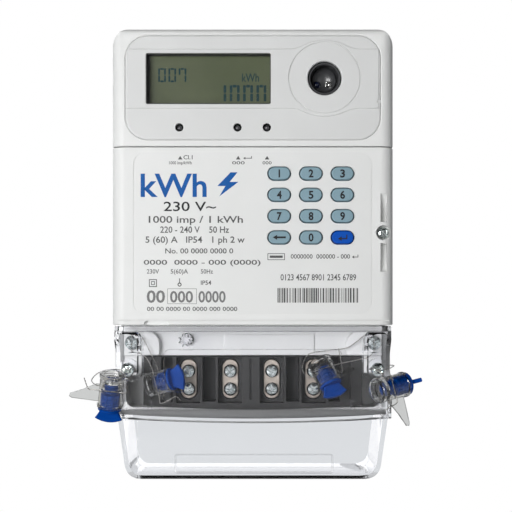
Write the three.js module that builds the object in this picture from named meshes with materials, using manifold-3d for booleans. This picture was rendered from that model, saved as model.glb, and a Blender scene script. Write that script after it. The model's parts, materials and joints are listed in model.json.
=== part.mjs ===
// A wall-mounted single-phase prepaid electricity meter: grey case with a display panel and a
// twelve-key pad, a four-way terminal block under a clear cover with a long cable skirt, and four
// twist seals on steel wire.
//
// Units are millimetres. +X is to the viewer's right, +Z is up and the wall is the plane y = 0.
// A "depth" is a distance from the wall towards the viewer, so a point at depth d has y = -d.
// Heights are measured from the skirt's bottom edge; the last lines lower everything onto the
// origin, which is the middle of the case's flat back.
import * as THREE from "three";
import { mergeVertices } from "three/addons/utils/BufferGeometryUtils.js";
import Module from "manifold-3d";

const wasm = await Module();
wasm.setup();

// ---- Driving dimensions -------------------------------------------------------------------

const CASE_WIDTH = 130;
const CASE_TOP = 210;
const CASE_BOTTOM = 30;
const CASE_CENTRE = (CASE_TOP + CASE_BOTTOM) / 2;
const CASE_DEPTH = 66;
const CASE_CORNER = 8.5;
const FRONT_EDGE_SIDE = 6;
const FRONT_EDGE_TOP = 3.2;
const WALL = 2.4;
const GAP = 0.3;

const TRAY_DEPTH = 24;
const SEAM = 155.5;
const LOWER_COVER_BOTTOM = 73.4;
const UPPER_FRONT_WALL = 4;

const PANEL = { left: -58.7, right: 59, bottom: 158.6, top: 206.8, corner: 10.6 };
const PANEL_FRONT = 66.5;
const PANEL_THICKNESS = 2.6;
const WINDOW = { left: -49.2, right: 8.3, bottom: 175.1, top: 198.5 };
const PORT = { x: 33.1, z: 187, hole: 7.8 };
const LED_X = [-33.8, -7, 6.5];
const LED_Z = 164.4;

const BOARD = { half: 53, bottom: 82, top: 199, back: 50, front: 51.6 };
const BOARD_HOLE = { x: 49, low: 87, high: 194, radius: 1.6 };
const TAMPER_SWITCH = { left: -35, right: -28, top: 86, back: 29, front: 35.2 };
const RELAY = { left: -50, right: -14, bottom: 92, top: 122, back: 31, front: 49.6 };
const RELAY_BLADES = { x: [-44, -24], width: 6, bottom: 70, back: 34, front: 35 };
const TRANSFORMER = { x: 9.1, z: 92, depth: 36, inner: 5.5, outer: 12, half: 5 };
const CAPACITOR = { left: 26, right: 52, bottom: 90, top: 110, back: 33, front: 49.6 };
const BATTERY = { left: 14, right: 39.5, depth: 41.6, z: 150, radius: 7.2, tipRadius: 2.2 };

const KEY_COLUMNS = [12.2, 26.8, 41.3];
const KEY_ROWS = [143.1, 133.3, 123.5, 113.7];
const KEY_NAMES = [
  ["key_1", "key_2", "key_3"],
  ["key_4", "key_5", "key_6"],
  ["key_7", "key_8", "key_9"],
  ["key_back", "key_0", "key_enter"],
];
const KEY_OPENING = { width: 10.8, height: 6.5 };
const KEY_CAP = { width: 10, height: 5.7 };
const KEY_FLANGE = { width: 12.2, height: 7.9, back: 61.6 };
const KEY_BACK = 58.4;
const KEY_PROUD = 1.2;
const MAT = { left: 4, right: 49.5, bottom: 108, top: 149, back: 51.9, front: 53.2 };
const MAT_DOME = { base: 3, top: 1.8, height: 4.2 };

const SHELF_DEPTH = 43;
const SHELF_BOTTOM = 58.7;
const CHEEK_BOTTOM = 50.5;
const SHELF_HALF_WIDTH = 61.2;
const BOSS_DEPTH = 47;

const BLOCK_HALF_WIDTH = 52.4;
const BLOCK_DEPTH = 42.4;
const BLOCK_TOP = 63.5;
const BLOCK_CELL = { left: 5.6, right: 5.7, bottom: 35.9, top: 57.6, back: 36 };
const BLOCK_SLOTS = [[-43.7, -38.4], [-24, -17.8], [16, 22.2], [36.2, 41.5]];
const BLOCK_SLOT_BACK = 30;
const TERMINAL_X = [-30.9, -10.9, 9.1, 29.1];
const TERMINAL_NAMES = ["live_in", "live_out", "neutral_out", "neutral_in"];
const TERMINAL_Z = 47;
const TERMINAL = { width: 8, height: 19.2, back: 20, front: 36.4 };
const TERMINAL_SCREW_Z = { upper: 50.9, lower: 42.2 };
const CABLE_BORE = { radius: 3.3, depth: 28 };

const CLEAR_TOP = 73;
const CLEAR_FRONT = 65;
const CLEAR_WALL = 2;
const SKIRT_TOP = 29.7;
const SKIRT_DEPTH = 52;
const WELL = { inner: 53.4, bottom: 47.6, top: 69.2, floor: 54 };
const LIP_TOP = 33.4;
const RIB = { x: [-47.7, 46.4], half: 0.8, back: 59, bottom: 31, top: 38 };
const KNOCK_OUT = { left: -37, right: 38, bottom: 3.2, top: 12.3, corner: 1.2, line: 0.8 };
const COVER_SCREW = {
  x: 58.6, z: 52.4, wireDepth: 55.7,
  headRadius: 3.2, seat: 54.3, headHeight: 2.8, shankRadius: 1.9, tip: 12,
};
const CASE_SCREW = {
  x: 57.3, z: 65.2, wireDepth: 48.75,
  headRadius: 3.3, seat: 47.3, headHeight: 2.8, shankRadius: 1.9, tip: 12,
};
const SIDE_SCREW = {
  x: 60.3, z: 115.9,
  headRadius: 2.7, seat: 62.3, headHeight: 2, shankRadius: 1.4, tip: 14,
};
const TERMINAL_SCREW = {
  headRadius: 3.2, seat: 36.8, headHeight: 2.2, shankRadius: 1.9, tip: 31.6,
};
const WIRE_HOLE = 0.8;
const PLUNGER = { x: -31.4, z: 66.3 };
const KEYHOLE = { z: 193, radius: 5.2, slotHalf: 2.6, slotTop: 201 };
const LOWER_FIXING = { x: 57.6, z: 38, radius: 2.6, web: 0.8 };

const SEAL = { outer: 5.9, inner: 4.7, core: 4.2, hub: 1.9, disc: 5.3, wire: 0.35, chord: 3.2 };

const COLOURS = {
  case_grey: [0xdededd, 0.55, 0],
  panel_grey: [0xd8d9d9, 0.5, 0],
  key_blue_grey: [0x9fb6c8, 0.5, 0],
  key_blue: [0x0b55c4, 0.45, 0],
  black: [0x2c2c2e, 0.55, 0],
  clear: [0xe6ebee, 0.08, 0],
  seal_blue: [0x0a3f9e, 0.4, 0],
  steel: [0xc3c6c8, 0.25, 1],
  nickel: [0xb9ab9b, 0.35, 1],
  lcd: [0x6a735a, 0.3, 0],
  board: [0x1f5a36, 0.6, 0],
  copper: [0xb06a3c, 0.4, 1],
  rubber: [0x8c8f92, 0.8, 0],
};

// ---- Solids -------------------------------------------------------------------------------

function solid(geometry) {
  const bare = geometry.clone();
  bare.deleteAttribute("normal");
  bare.deleteAttribute("uv");
  const merged = mergeVertices(bare, 1e-4);
  return new wasm.Manifold(
    new wasm.Mesh({
      numProp: 3,
      vertProperties: merged.attributes.position.array,
      triVerts: new Uint32Array(merged.index.array),
    }),
  );
}

function geometryOf(manifold) {
  const { vertProperties, triVerts } = manifold.getMesh();
  const indexed = new THREE.BufferGeometry();
  indexed.setAttribute("position", new THREE.BufferAttribute(vertProperties, 3));
  indexed.setIndex(new THREE.BufferAttribute(triVerts, 1));
  const flat = indexed.toNonIndexed();
  flat.computeVertexNormals();
  return flat;
}

function box(x0, x1, depth0, depth1, z0, z1) {
  const geometry = new THREE.BoxGeometry(x1 - x0, depth1 - depth0, z1 - z0);
  return solid(geometry.translate((x0 + x1) / 2, -(depth0 + depth1) / 2, (z0 + z1) / 2));
}

// A cylinder whose axis runs straight out of the wall.
function rodOut(x, z, radius, depth0, depth1, sides = 20) {
  const geometry = new THREE.CylinderGeometry(radius, radius, depth1 - depth0, sides);
  return solid(geometry.translate(x, -(depth0 + depth1) / 2, z));
}

function rodUp(x, depth, radius, z0, z1, sides = 20) {
  const geometry = new THREE.CylinderGeometry(radius, radius, z1 - z0, sides);
  return solid(geometry.rotateX(Math.PI / 2).translate(x, -depth, (z0 + z1) / 2));
}

function rodAcross(x0, x1, depth, z, radius, sides = 12) {
  const geometry = new THREE.CylinderGeometry(radius, radius, x1 - x0, sides);
  return solid(geometry.rotateZ(Math.PI / 2).translate((x0 + x1) / 2, -depth, z));
}

// An (x, z) outline extruded from one depth to another.
function frontPrism(shape, depth0, depth1, curveSegments = 6) {
  const options = { depth: depth1 - depth0, bevelEnabled: false, curveSegments };
  const geometry = new THREE.ExtrudeGeometry(shape, options);
  return solid(geometry.rotateX(Math.PI / 2).translate(0, -depth0, 0));
}

// An (x, y) outline extruded from one height to another.
function planPrism(shape, z0, z1, curveSegments = 6) {
  const options = { depth: z1 - z0, bevelEnabled: false, curveSegments };
  return solid(new THREE.ExtrudeGeometry(shape, options).translate(0, 0, z0));
}

// A (y, z) outline extruded from one x to another.
function sidePrism(shape, x0, x1, curveSegments = 6) {
  const options = { depth: x1 - x0, bevelEnabled: false, curveSegments };
  const turn = new THREE.Matrix4().makeBasis(
    new THREE.Vector3(0, 1, 0),
    new THREE.Vector3(0, 0, 1),
    new THREE.Vector3(1, 0, 0),
  );
  return solid(new THREE.ExtrudeGeometry(shape, options).applyMatrix4(turn).translate(x0, 0, 0));
}

// A rectangle with its own radius at each corner: top left, top right, bottom right, bottom left.
function roundRect(left, right, bottom, top, radii) {
  const [tl, tr, br, bl] = Array.isArray(radii) ? radii : [radii, radii, radii, radii];
  const quarter = Math.PI / 2;
  const shape = new THREE.Shape();
  shape.moveTo(left + bl, bottom);
  shape.lineTo(right - br, bottom);
  if (br) shape.absarc(right - br, bottom + br, br, -quarter, 0, false);
  shape.lineTo(right, top - tr);
  if (tr) shape.absarc(right - tr, top - tr, tr, 0, quarter, false);
  shape.lineTo(left + tl, top);
  if (tl) shape.absarc(left + tl, top - tl, tl, quarter, 2 * quarter, false);
  shape.lineTo(left, bottom + bl);
  if (bl) shape.absarc(left + bl, bottom + bl, bl, 2 * quarter, 3 * quarter, false);
  return shape;
}

function polygon(points) {
  return new THREE.Shape(points.map(([u, v]) => new THREE.Vector2(u, v)));
}

// A slot outline: the shorter side's ends are round.
function pill(x, z, width, height) {
  const radius = Math.min(width, height) / 2 - 0.01;
  return roundRect(x - width / 2, x + width / 2, z - height / 2, z + height / 2, radius);
}

function union(pieces) {
  return pieces.reduce((all, piece) => all.add(piece));
}

function cut(body, pieces) {
  return pieces.reduce((left, piece) => left.subtract(piece), body);
}

// ---- Scene graph --------------------------------------------------------------------------

const meter = new THREE.Group();

function addNode(name, colour, manifold, parent = meter) {
  const [hex, roughness, metalness] = COLOURS[colour];
  const material = new THREE.MeshStandardMaterial({ color: hex, roughness, metalness });
  const mesh = new THREE.Mesh(geometryOf(manifold), material);
  mesh.name = name;
  parent.add(mesh);
  return mesh;
}

// ---- Case ---------------------------------------------------------------------------------

// The case's outer surface shrunk by an inset, between two depths and two heights: the front view,
// the plan and the side view of the case all bound it, so the front edges are rounded.
function caseBody(inset, depth0, depth1, z0, z1) {
  const half = CASE_WIDTH / 2 - inset;
  const top = CASE_TOP - inset;
  const corner = CASE_CORNER - inset;
  const front = roundRect(-half, half, CASE_BOTTOM - 20, top, [corner, corner, 0, 0]);
  const edge = FRONT_EDGE_SIDE - inset * 0.6;
  const plan = roundRect(-half, half, -depth1, 0, [0, 0, edge, edge]);
  const edgeTop = FRONT_EDGE_TOP - inset * 0.6;
  const side = roundRect(-depth1, 0, CASE_BOTTOM - 20, top, [edgeTop, 0, 0, 0]);
  return frontPrism(front, depth0, depth1, 4)
    .intersect(planPrism(plan, z0, z1, 4))
    .intersect(sidePrism(side, -half - 1, half + 1, 3));
}

function makeBase() {
  const half = CASE_WIDTH / 2;
  const corners = [CASE_CORNER, CASE_CORNER, 5, 5];
  const outer = roundRect(-half, half, CASE_BOTTOM, CASE_TOP, corners);
  const inner = roundRect(-half + WALL, half - WALL, CASE_BOTTOM + WALL, CASE_TOP - WALL, 4);
  const { z: keyZ, radius: keyRadius, slotHalf, slotTop } = KEYHOLE;
  const keyholeRound = rodOut(0, keyZ, keyRadius, -1, WALL + 1);
  const keyholeSlot = box(-slotHalf, slotHalf, -1, WALL + 1, keyZ, slotTop);
  const fixing = LOWER_FIXING;
  const lowerFixings = [-fixing.x, fixing.x].map((x) =>
    rodOut(x, fixing.z, fixing.radius, -1, WALL - fixing.web, 16),
  );
  const posts = [
    [SIDE_SCREW.x - 0.6, SIDE_SCREW.z],
    [-CASE_SCREW.x, CASE_SCREW.z],
    [CASE_SCREW.x, CASE_SCREW.z],
    [-COVER_SCREW.x + 0.6, COVER_SCREW.z],
    [COVER_SCREW.x - 0.6, COVER_SCREW.z],
  ];
  const bosses = posts.map(([x, z]) => rodOut(x, z, 4.2, WALL - 0.5, TRAY_DEPTH - 1, 10));
  const screws = [
    [SIDE_SCREW.x, SIDE_SCREW.z],
    [-CASE_SCREW.x, CASE_SCREW.z],
    [CASE_SCREW.x, CASE_SCREW.z],
    [-COVER_SCREW.x, COVER_SCREW.z],
    [COVER_SCREW.x, COVER_SCREW.z],
  ];
  const pilots = screws.map(([x, z]) => rodOut(x, z, 2.2, 8, TRAY_DEPTH + 1, 8));
  const tray = frontPrism(outer, 0, TRAY_DEPTH, 4).subtract(
    frontPrism(inner, WALL, TRAY_DEPTH + 1, 3),
  );
  return cut(union([tray, ...bosses]), [keyholeRound, keyholeSlot, ...lowerFixings, ...pilots]);
}

function makeUpperCover() {
  const outer = caseBody(0, TRAY_DEPTH + GAP, CASE_DEPTH, SEAM + 0.2, CASE_TOP);
  const hollow = caseBody(WALL, 0, CASE_DEPTH - UPPER_FRONT_WALL, SEAM - 5, CASE_TOP);
  const { left, right, bottom, top, corner } = PANEL;
  const pocket = roundRect(left - GAP, right + GAP, bottom - GAP, top + GAP, corner + GAP);
  const opening = roundRect(left + 2.2, right - 2.2, bottom + 2.2, top - 2.2, corner - 2.2);
  const pocketFloor = PANEL_FRONT - PANEL_THICKNESS - GAP;
  return cut(outer, [
    hollow,
    frontPrism(pocket, pocketFloor, CASE_DEPTH + 1),
    frontPrism(opening, CASE_DEPTH - UPPER_FRONT_WALL - 1, CASE_DEPTH),
  ]);
}

function makeDisplayPanel() {
  const { left, right, bottom, top, corner } = PANEL;
  const back = PANEL_FRONT - PANEL_THICKNESS;
  const plate = frontPrism(roundRect(left, right, bottom, top, corner), back, PANEL_FRONT, 8);
  const w = WINDOW;
  return cut(plate, [
    frontPrism(roundRect(w.left, w.right, w.bottom, w.top, 0.8), back - 1, PANEL_FRONT + 1, 2),
    rodOut(PORT.x, PORT.z, PORT.hole, back - 1, PANEL_FRONT + 1, 32),
    ...LED_X.map((x) => rodOut(x, LED_Z, 1.9, back - 1, PANEL_FRONT + 1, 16)),
  ]);
}

// The straight-sided front of the lower cover with its key openings, and the stepped-back shelf
// that the clear terminal cover fits over.
function makeLowerCover() {
  const top = SEAM - 0.2;
  const front = caseBody(0, TRAY_DEPTH + GAP, CASE_DEPTH, LOWER_COVER_BOTTOM, top);
  const frontHollow = caseBody(WALL, 0, CASE_DEPTH - WALL, LOWER_COVER_BOTTOM + WALL, top + 5);

  const half = SHELF_HALF_WIDTH;
  const shelfTop = LOWER_COVER_BOTTOM + WALL;
  const shelf = box(-half, half, TRAY_DEPTH + GAP, SHELF_DEPTH, CHEEK_BOTTOM, shelfTop);
  const shelfHollow = box(-half + WALL, half - WALL, 0, SHELF_DEPTH - WALL, CHEEK_BOTTOM - 1, 80);
  const mouthHalf = BLOCK_HALF_WIDTH + 0.4;
  const blockMouth = roundRect(-mouthHalf, mouthHalf, CHEEK_BOTTOM - 4, SHELF_BOTTOM, 0);
  const bosses = [-1, 1].map((side) => {
    const inner = 44.3 * side;
    const outer = half * side;
    const radii = side < 0 ? [0, 6, 1, 0] : [6, 0, 0, 1];
    const left = Math.min(inner, outer);
    const right = Math.max(inner, outer);
    const outline = roundRect(left, right, SHELF_BOTTOM, 70.2, radii);
    return frontPrism(outline, SHELF_DEPTH - 1, BOSS_DEPTH, 4);
  });
  const pad = frontPrism(roundRect(-13.8, 29.4, SHELF_BOTTOM, 68.6, [0, 1, 0, 0]), 42, 43.8, 2);

  // The side screw's boss, its counterbore, and the two ramped grooves that lead a driver to it.
  const { x, z } = SIDE_SCREW;
  const screwBoss = rodOut(x - 1, z, 5.2, TRAY_DEPTH + GAP, CASE_DEPTH).intersect(
    caseBody(0, TRAY_DEPTH + GAP, CASE_DEPTH, LOWER_COVER_BOTTOM, top),
  );
  const grooves = [1, -1].map((sign) => {
    const ramp = polygon([
      [-CASE_DEPTH - 1, z + sign * 4.6],
      [-CASE_DEPTH + 3.2, z + sign * 4.6],
      [-CASE_DEPTH - 1, z + sign * 19],
    ]);
    return sidePrism(ramp, x - 1.7, x + 1.7);
  });

  // A finger scoop in the strip above the clear cover.
  const scoop = frontPrism(roundRect(-50, -38.5, 70, 75, [1.5, 1.5, 0, 0]), CASE_DEPTH - 1.6, 68, 3);
  const shadowLine = box(-70, 70, CASE_DEPTH - 0.8, CASE_DEPTH + 1, 75.3, 75.7);

  const keyOpenings = KEY_ROWS.flatMap((row) =>
    KEY_COLUMNS.map((column) =>
      frontPrism(pill(column, row, KEY_OPENING.width, KEY_OPENING.height), 60, 70, 3),
    ),
  );
  const plungerHole = rodOut(PLUNGER.x, PLUNGER.z, 3, 38, 50, 16);
  const screwHoles = [-1, 1].flatMap((side) => [
    rodOut(side * CASE_SCREW.x, CASE_SCREW.z, 2.2, 20, 50, 8),
    rodOut(side * COVER_SCREW.x, COVER_SCREW.z, 2.2, 20, 50, 8),
  ]);

  const shell = cut(union([front, shelf]), [frontHollow, shelfHollow]);
  return cut(union([shell, screwBoss, ...bosses, pad]), [
    frontPrism(blockMouth, 0, SHELF_DEPTH + 5),
    rodOut(x, z, 3.4, CASE_DEPTH - 4, CASE_DEPTH + 1, 24),
    rodOut(x, z, 1.7, 20, CASE_DEPTH, 12),
    ...grooves,
    scoop,
    shadowLine,
    plungerHole,
    ...keyOpenings,
    ...screwHoles,
  ]);
}

// ---- Display, port and lamps --------------------------------------------------------------

function makePort() {
  const { x, z } = PORT;
  const sleeve = cut(rodOut(x, z, 7.5, 53, 64.8, 20), [
    rodOut(x, z, 6.4, 58.2, 66, 20),
    rodOut(x, z, 5.6, 50, 60, 20),
  ]);
  addNode("port_sleeve", "black", sleeve);

  const carrier = rodOut(x, z, 5.2, 52.2, 56.4, 20);
  const diodes = [-3.25, 3.25].map((offset) => rodOut(x + offset, z, 1.5, 56, 58.4, 12));
  addNode("ir_diode_pair", "black", union([carrier, ...diodes]));

  const ring = cut(rodOut(x, z, 14.5, 61.9, 63.5, 20), [rodOut(x, z, 9, 60, 65, 16)]);
  addNode("port_magnet_ring", "steel", ring);
}

function makeLedBar() {
  const bar = box(LED_X[0] - 3, LED_X[2] + 3, 52, 55, LED_Z - 2.4, LED_Z + 2.4);
  const posts = LED_X.map((x) => rodOut(x, LED_Z, 1.5, 54, 65, 12));
  return union([bar, ...posts]);
}

function makeBoard() {
  const { half, bottom, top, back, front } = BOARD;
  const sheet = box(-half, half, back, front, bottom, top);
  const hole = BOARD_HOLE;
  const cornerHoles = [-hole.x, hole.x].flatMap((x) =>
    [hole.low, hole.high].map((z) => rodOut(x, z, hole.radius, back - 5, front + 5, 10)),
  );
  const { left, right, top: switchTop, back: switchBack, front: switchFront } = TAMPER_SWITCH;
  const arm = box(left, right, switchFront - 0.2, back + 0.5, bottom + 0.5, switchTop);
  const body = box(left, right, switchBack, switchFront, BLOCK_TOP + 0.4, switchTop);
  return union([cut(sheet, cornerHoles), arm, body]);
}

// ---- Keys ---------------------------------------------------------------------------------

// Each key is a pill-shaped cap on a wider flange that stops it behind the cover.
function makeKey(column, row) {
  const front = CASE_DEPTH + KEY_PROUD;
  const cap = frontPrism(pill(column, row, KEY_CAP.width, KEY_CAP.height), KEY_BACK, front, 2);
  const rim = pill(column, row, KEY_FLANGE.width, KEY_FLANGE.height);
  const flange = frontPrism(rim, KEY_FLANGE.back, CASE_DEPTH - WALL - 0.4, 1);
  return cap.add(flange);
}

function makeKeypadMat() {
  const sheet = box(MAT.left, MAT.right, MAT.back, MAT.front, MAT.bottom, MAT.top);
  const middle = MAT.front - 0.1 + MAT_DOME.height / 2;
  const domes = KEY_ROWS.flatMap((row) =>
    KEY_COLUMNS.map((column) => {
      const dome = new THREE.CylinderGeometry(MAT_DOME.base, MAT_DOME.top, MAT_DOME.height, 6);
      return solid(dome.translate(column, -middle, row));
    }),
  );
  return union([sheet, ...domes]);
}

// ---- Works --------------------------------------------------------------------------------

function makeRelay() {
  const { left, right, bottom, top, back, front } = RELAY;
  const body = box(left, right, back, front, bottom, top);
  const blade = RELAY_BLADES;
  const blades = blade.x.map((x) =>
    box(x, x + blade.width, blade.back, blade.front, blade.bottom, bottom + 1),
  );
  return union([body, ...blades]);
}

function makeCurrentTransformer() {
  const { x, z, depth, inner, outer, half } = TRANSFORMER;
  return rodOut(x, z, outer, depth - half, depth + half, 24).subtract(
    rodOut(x, z, inner, depth - half - 1, depth + half + 1, 24),
  );
}

function makeCapacitor() {
  const { left, right, bottom, top, back, front } = CAPACITOR;
  return frontPrism(roundRect(left, right, bottom, top, 1.5), back, front, 3);
}

function makeBattery() {
  const { left, right, depth, z, radius, tipRadius } = BATTERY;
  const cell = rodAcross(left, right, depth, z, radius, 20);
  const tip = rodAcross(right - 0.5, right + 1.3, depth, z, tipRadius, 12);
  return cell.add(tip);
}

// ---- Terminals ----------------------------------------------------------------------------

// The block's bottom edge sags in a shallow arc between its two ends.
function blockOutline() {
  const shape = new THREE.Shape();
  const half = BLOCK_HALF_WIDTH;
  shape.moveTo(-half, SHELF_BOTTOM - 0.5);
  shape.lineTo(-half, 34.6);
  shape.quadraticCurveTo(0, 30.6, half, 34.6);
  shape.lineTo(half, SHELF_BOTTOM - 0.5);
  return shape;
}

function makeTerminalBlock() {
  const lower = frontPrism(blockOutline(), WALL + GAP, BLOCK_DEPTH, 10);
  const upper = box(-50.8, 50.8, WALL + GAP, 37, SHELF_BOTTOM - 1, BLOCK_TOP);
  const cells = TERMINAL_X.flatMap((x) => {
    const { width, height, back } = TERMINAL;
    const pocket = pill(x, TERMINAL_Z, width + 2 * GAP, height + 2 * GAP);
    const cell = BLOCK_CELL;
    return [
      box(x - cell.left, x + cell.right, cell.back, BLOCK_DEPTH + 1, cell.bottom, cell.top),
      frontPrism(pocket, back - GAP, 37, 4),
      rodUp(x, CABLE_BORE.depth, 4, 28, 40, 14),
    ];
  });
  const slots = BLOCK_SLOTS.map(([x0, x1]) =>
    box(x0, x1, BLOCK_SLOT_BACK, BLOCK_DEPTH + 1, BLOCK_CELL.bottom + 0.7, BLOCK_CELL.top),
  );
  return cut(lower.add(upper), [...cells, ...slots]);
}

function makeTerminal(x) {
  const { width, height, back, front } = TERMINAL;
  const body = frontPrism(pill(x, TERMINAL_Z, width, height), back, front, 4);
  return cut(body, [
    rodUp(x, CABLE_BORE.depth, CABLE_BORE.radius, 30, 53, 12),
    ...Object.values(TERMINAL_SCREW_Z).map((z) => rodOut(x, z, 2.2, CABLE_BORE.depth, 40, 8)),
  ]);
}

// A pan head with a cross recess on a plain shank, standing out of the wall at (x, z).
function makeScrew(x, z, { headRadius, seat, headHeight, shankRadius, tip }) {
  const dome = [
    [0, 0],
    [headRadius, 0],
    [headRadius, headHeight * 0.55],
    [headRadius * 0.7, headHeight],
    [0, headHeight],
  ].map(([u, v]) => new THREE.Vector2(u, v));
  const lathe = new THREE.LatheGeometry(dome, 12).rotateX(Math.PI);
  const head = solid(lathe.translate(x, -seat, z));
  const shank = rodOut(x, z, shankRadius, tip, seat + 0.4, 6);
  const arm = headRadius * 0.62;
  const top = seat + headHeight;
  const recess = [
    box(x - arm, x + arm, top - headHeight * 0.5, top + 1, z - 0.45, z + 0.45),
    box(x - 0.45, x + 0.45, top - headHeight * 0.5, top + 1, z - arm, z + arm),
  ];
  return cut(head.add(shank), recess);
}

// ---- Clear terminal cover -----------------------------------------------------------------

// Plan of the front box: its sides draw in towards the front.
function clearPlan(inset, back) {
  const rear = 64.6 - inset;
  const front = 62.9 - inset;
  const depth = CLEAR_FRONT - inset;
  const corner = 4 - inset * 0.6;
  const shape = new THREE.Shape();
  shape.moveTo(-rear, -back);
  shape.lineTo(-front, -depth + corner);
  shape.quadraticCurveTo(-front, -depth, -front + corner, -depth);
  shape.lineTo(front - corner, -depth);
  shape.quadraticCurveTo(front, -depth, front, -depth + corner);
  shape.lineTo(rear, -back);
  return shape;
}

// Front view of the front box: its lower edge sags 2 mm in the middle.
function clearFrontView(inset, low, high) {
  const shape = new THREE.Shape();
  shape.moveTo(-70, high - inset);
  shape.lineTo(-70, low + 2.2 + inset);
  shape.lineTo(-62, low + 2.2 + inset);
  shape.quadraticCurveTo(0, low - 2 + inset, 62, low + 2.2 + inset);
  shape.lineTo(70, low + 2.2 + inset);
  shape.lineTo(70, high - inset);
  return shape;
}

// The skirt's outline seen from the front: tapering sides and round lower corners.
function skirtOutline(inset, top) {
  const shape = new THREE.Shape();
  const side = 64 - inset;
  const low = 60.8 - inset;
  const corner = 9.5 - inset;
  shape.moveTo(-side, top);
  shape.lineTo(-low, corner + inset);
  shape.quadraticCurveTo(-low + 0.6, inset, -low + corner, inset);
  shape.lineTo(low - corner, inset);
  shape.quadraticCurveTo(low - 0.6, inset, low, corner + inset);
  shape.lineTo(side, top);
  return shape;
}

function skirtBody(inset, back, top) {
  const depth = SKIRT_DEPTH - inset;
  const corner = 8 - inset;
  const plan = roundRect(-66, 66, -depth, -back, [0, 0, corner, corner]);
  const side = roundRect(-depth, -back, inset, top, [0, 0, 0, 5]);
  return frontPrism(skirtOutline(inset, top), back, depth, 8)
    .intersect(planPrism(plan, 0, top, 5))
    .intersect(sidePrism(side, -70, 70, 4));
}

// A scoop down to each cover screw: seen from the front it is an arch, and its floor slopes in
// from the cover's face.
function screwWell(side, wall) {
  const low = WELL.bottom - wall * 0.2;
  const back = WELL.floor - wall;
  const slope = polygon([
    [-CLEAR_FRONT - 3, 72 + wall],
    [-back, 60 + wall * 0.6],
    [-back, low],
    [-CLEAR_FRONT - 3, low],
  ]);
  const inner = side * (WELL.inner - wall);
  const outer = side * 70;
  const radii = side < 0 ? [0, 4.6, 4.6, 0] : [4.6, 0, 0, 4.6];
  const left = Math.min(inner, outer);
  const right = Math.max(inner, outer);
  const arch = roundRect(left, right, low, WELL.top + wall, radii);
  return sidePrism(slope, -72, 72).intersect(frontPrism(arch, 20, 72, 4));
}

function makeTerminalCover() {
  const back = TRAY_DEPTH + GAP;
  const frontBox = planPrism(clearPlan(0, back), 20, CLEAR_TOP, 5).intersect(
    frontPrism(clearFrontView(0, 28, CLEAR_TOP), 0, CLEAR_FRONT, 12),
  );
  const frontHollow = planPrism(clearPlan(CLEAR_WALL, 0), 20, CLEAR_TOP - 2.4, 5).intersect(
    frontPrism(clearFrontView(CLEAR_WALL, 28, CLEAR_TOP), 0, CLEAR_FRONT, 12),
  );
  const skirt = skirtBody(0, 2, SKIRT_TOP);
  const skirtHollow = skirtBody(CLEAR_WALL, -4, 36);
  const outer = frontBox.add(skirt);
  const shell = cut(outer, [frontHollow, skirtHollow]);

  const lip = frontPrism(clearFrontView(0, 28, LIP_TOP), 58.6, CLEAR_FRONT - 1, 12).intersect(
    planPrism(clearPlan(0, back), 20, 40, 5),
  );
  const ribs = RIB.x.map((x) =>
    box(x - RIB.half, x + RIB.half, RIB.back, CLEAR_FRONT - 1, RIB.bottom, RIB.top),
  );
  const pillar = rodOut(PLUNGER.x, PLUNGER.z, 3.4, 46.4, CLEAR_FRONT - 1, 20);
  const wellBlocks = [-1, 1].map((side) => screwWell(side, CLEAR_WALL).intersect(outer));
  const wells = [-1, 1].map((side) => screwWell(side, 0));
  const { x, z } = COVER_SCREW;
  const bosses = [-x, x].map((at) => rodOut(at, z, 4.8, SHELF_DEPTH + GAP + 0.2, WELL.floor - 1, 16));
  const holes = [-x, x].map((at) => rodOut(at, z, 2.2, 40, 60, 8));
  const half = SHELF_HALF_WIDTH + GAP;
  const shelfRoom = box(-half, half, 20, SHELF_DEPTH + GAP, SHELF_BOTTOM - 1, CLEAR_TOP + 1);

  // A thin outline inside the front marks the panel that is cut away for thicker cables.
  const { left, right, bottom, top, corner, line } = KNOCK_OUT;
  const scored = roundRect(left, right, bottom, top, corner);
  const inside = [left + line, right - line, bottom + line, top - line];
  const scoredInner = roundRect(...inside, corner - line);
  const skirtFace = SKIRT_DEPTH - CLEAR_WALL;
  const score = frontPrism(scored, skirtFace - 1, skirtFace + 0.9, 2).subtract(
    frontPrism(scoredInner, skirtFace - 2, skirtFace + 2, 2),
  );
  return cut(union([shell, lip, ...ribs, pillar, ...wellBlocks, ...bosses]), [
    ...wells,
    ...holes,
    score,
    shelfRoom,
  ]);
}

// ---- Twist seals --------------------------------------------------------------------------

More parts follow.
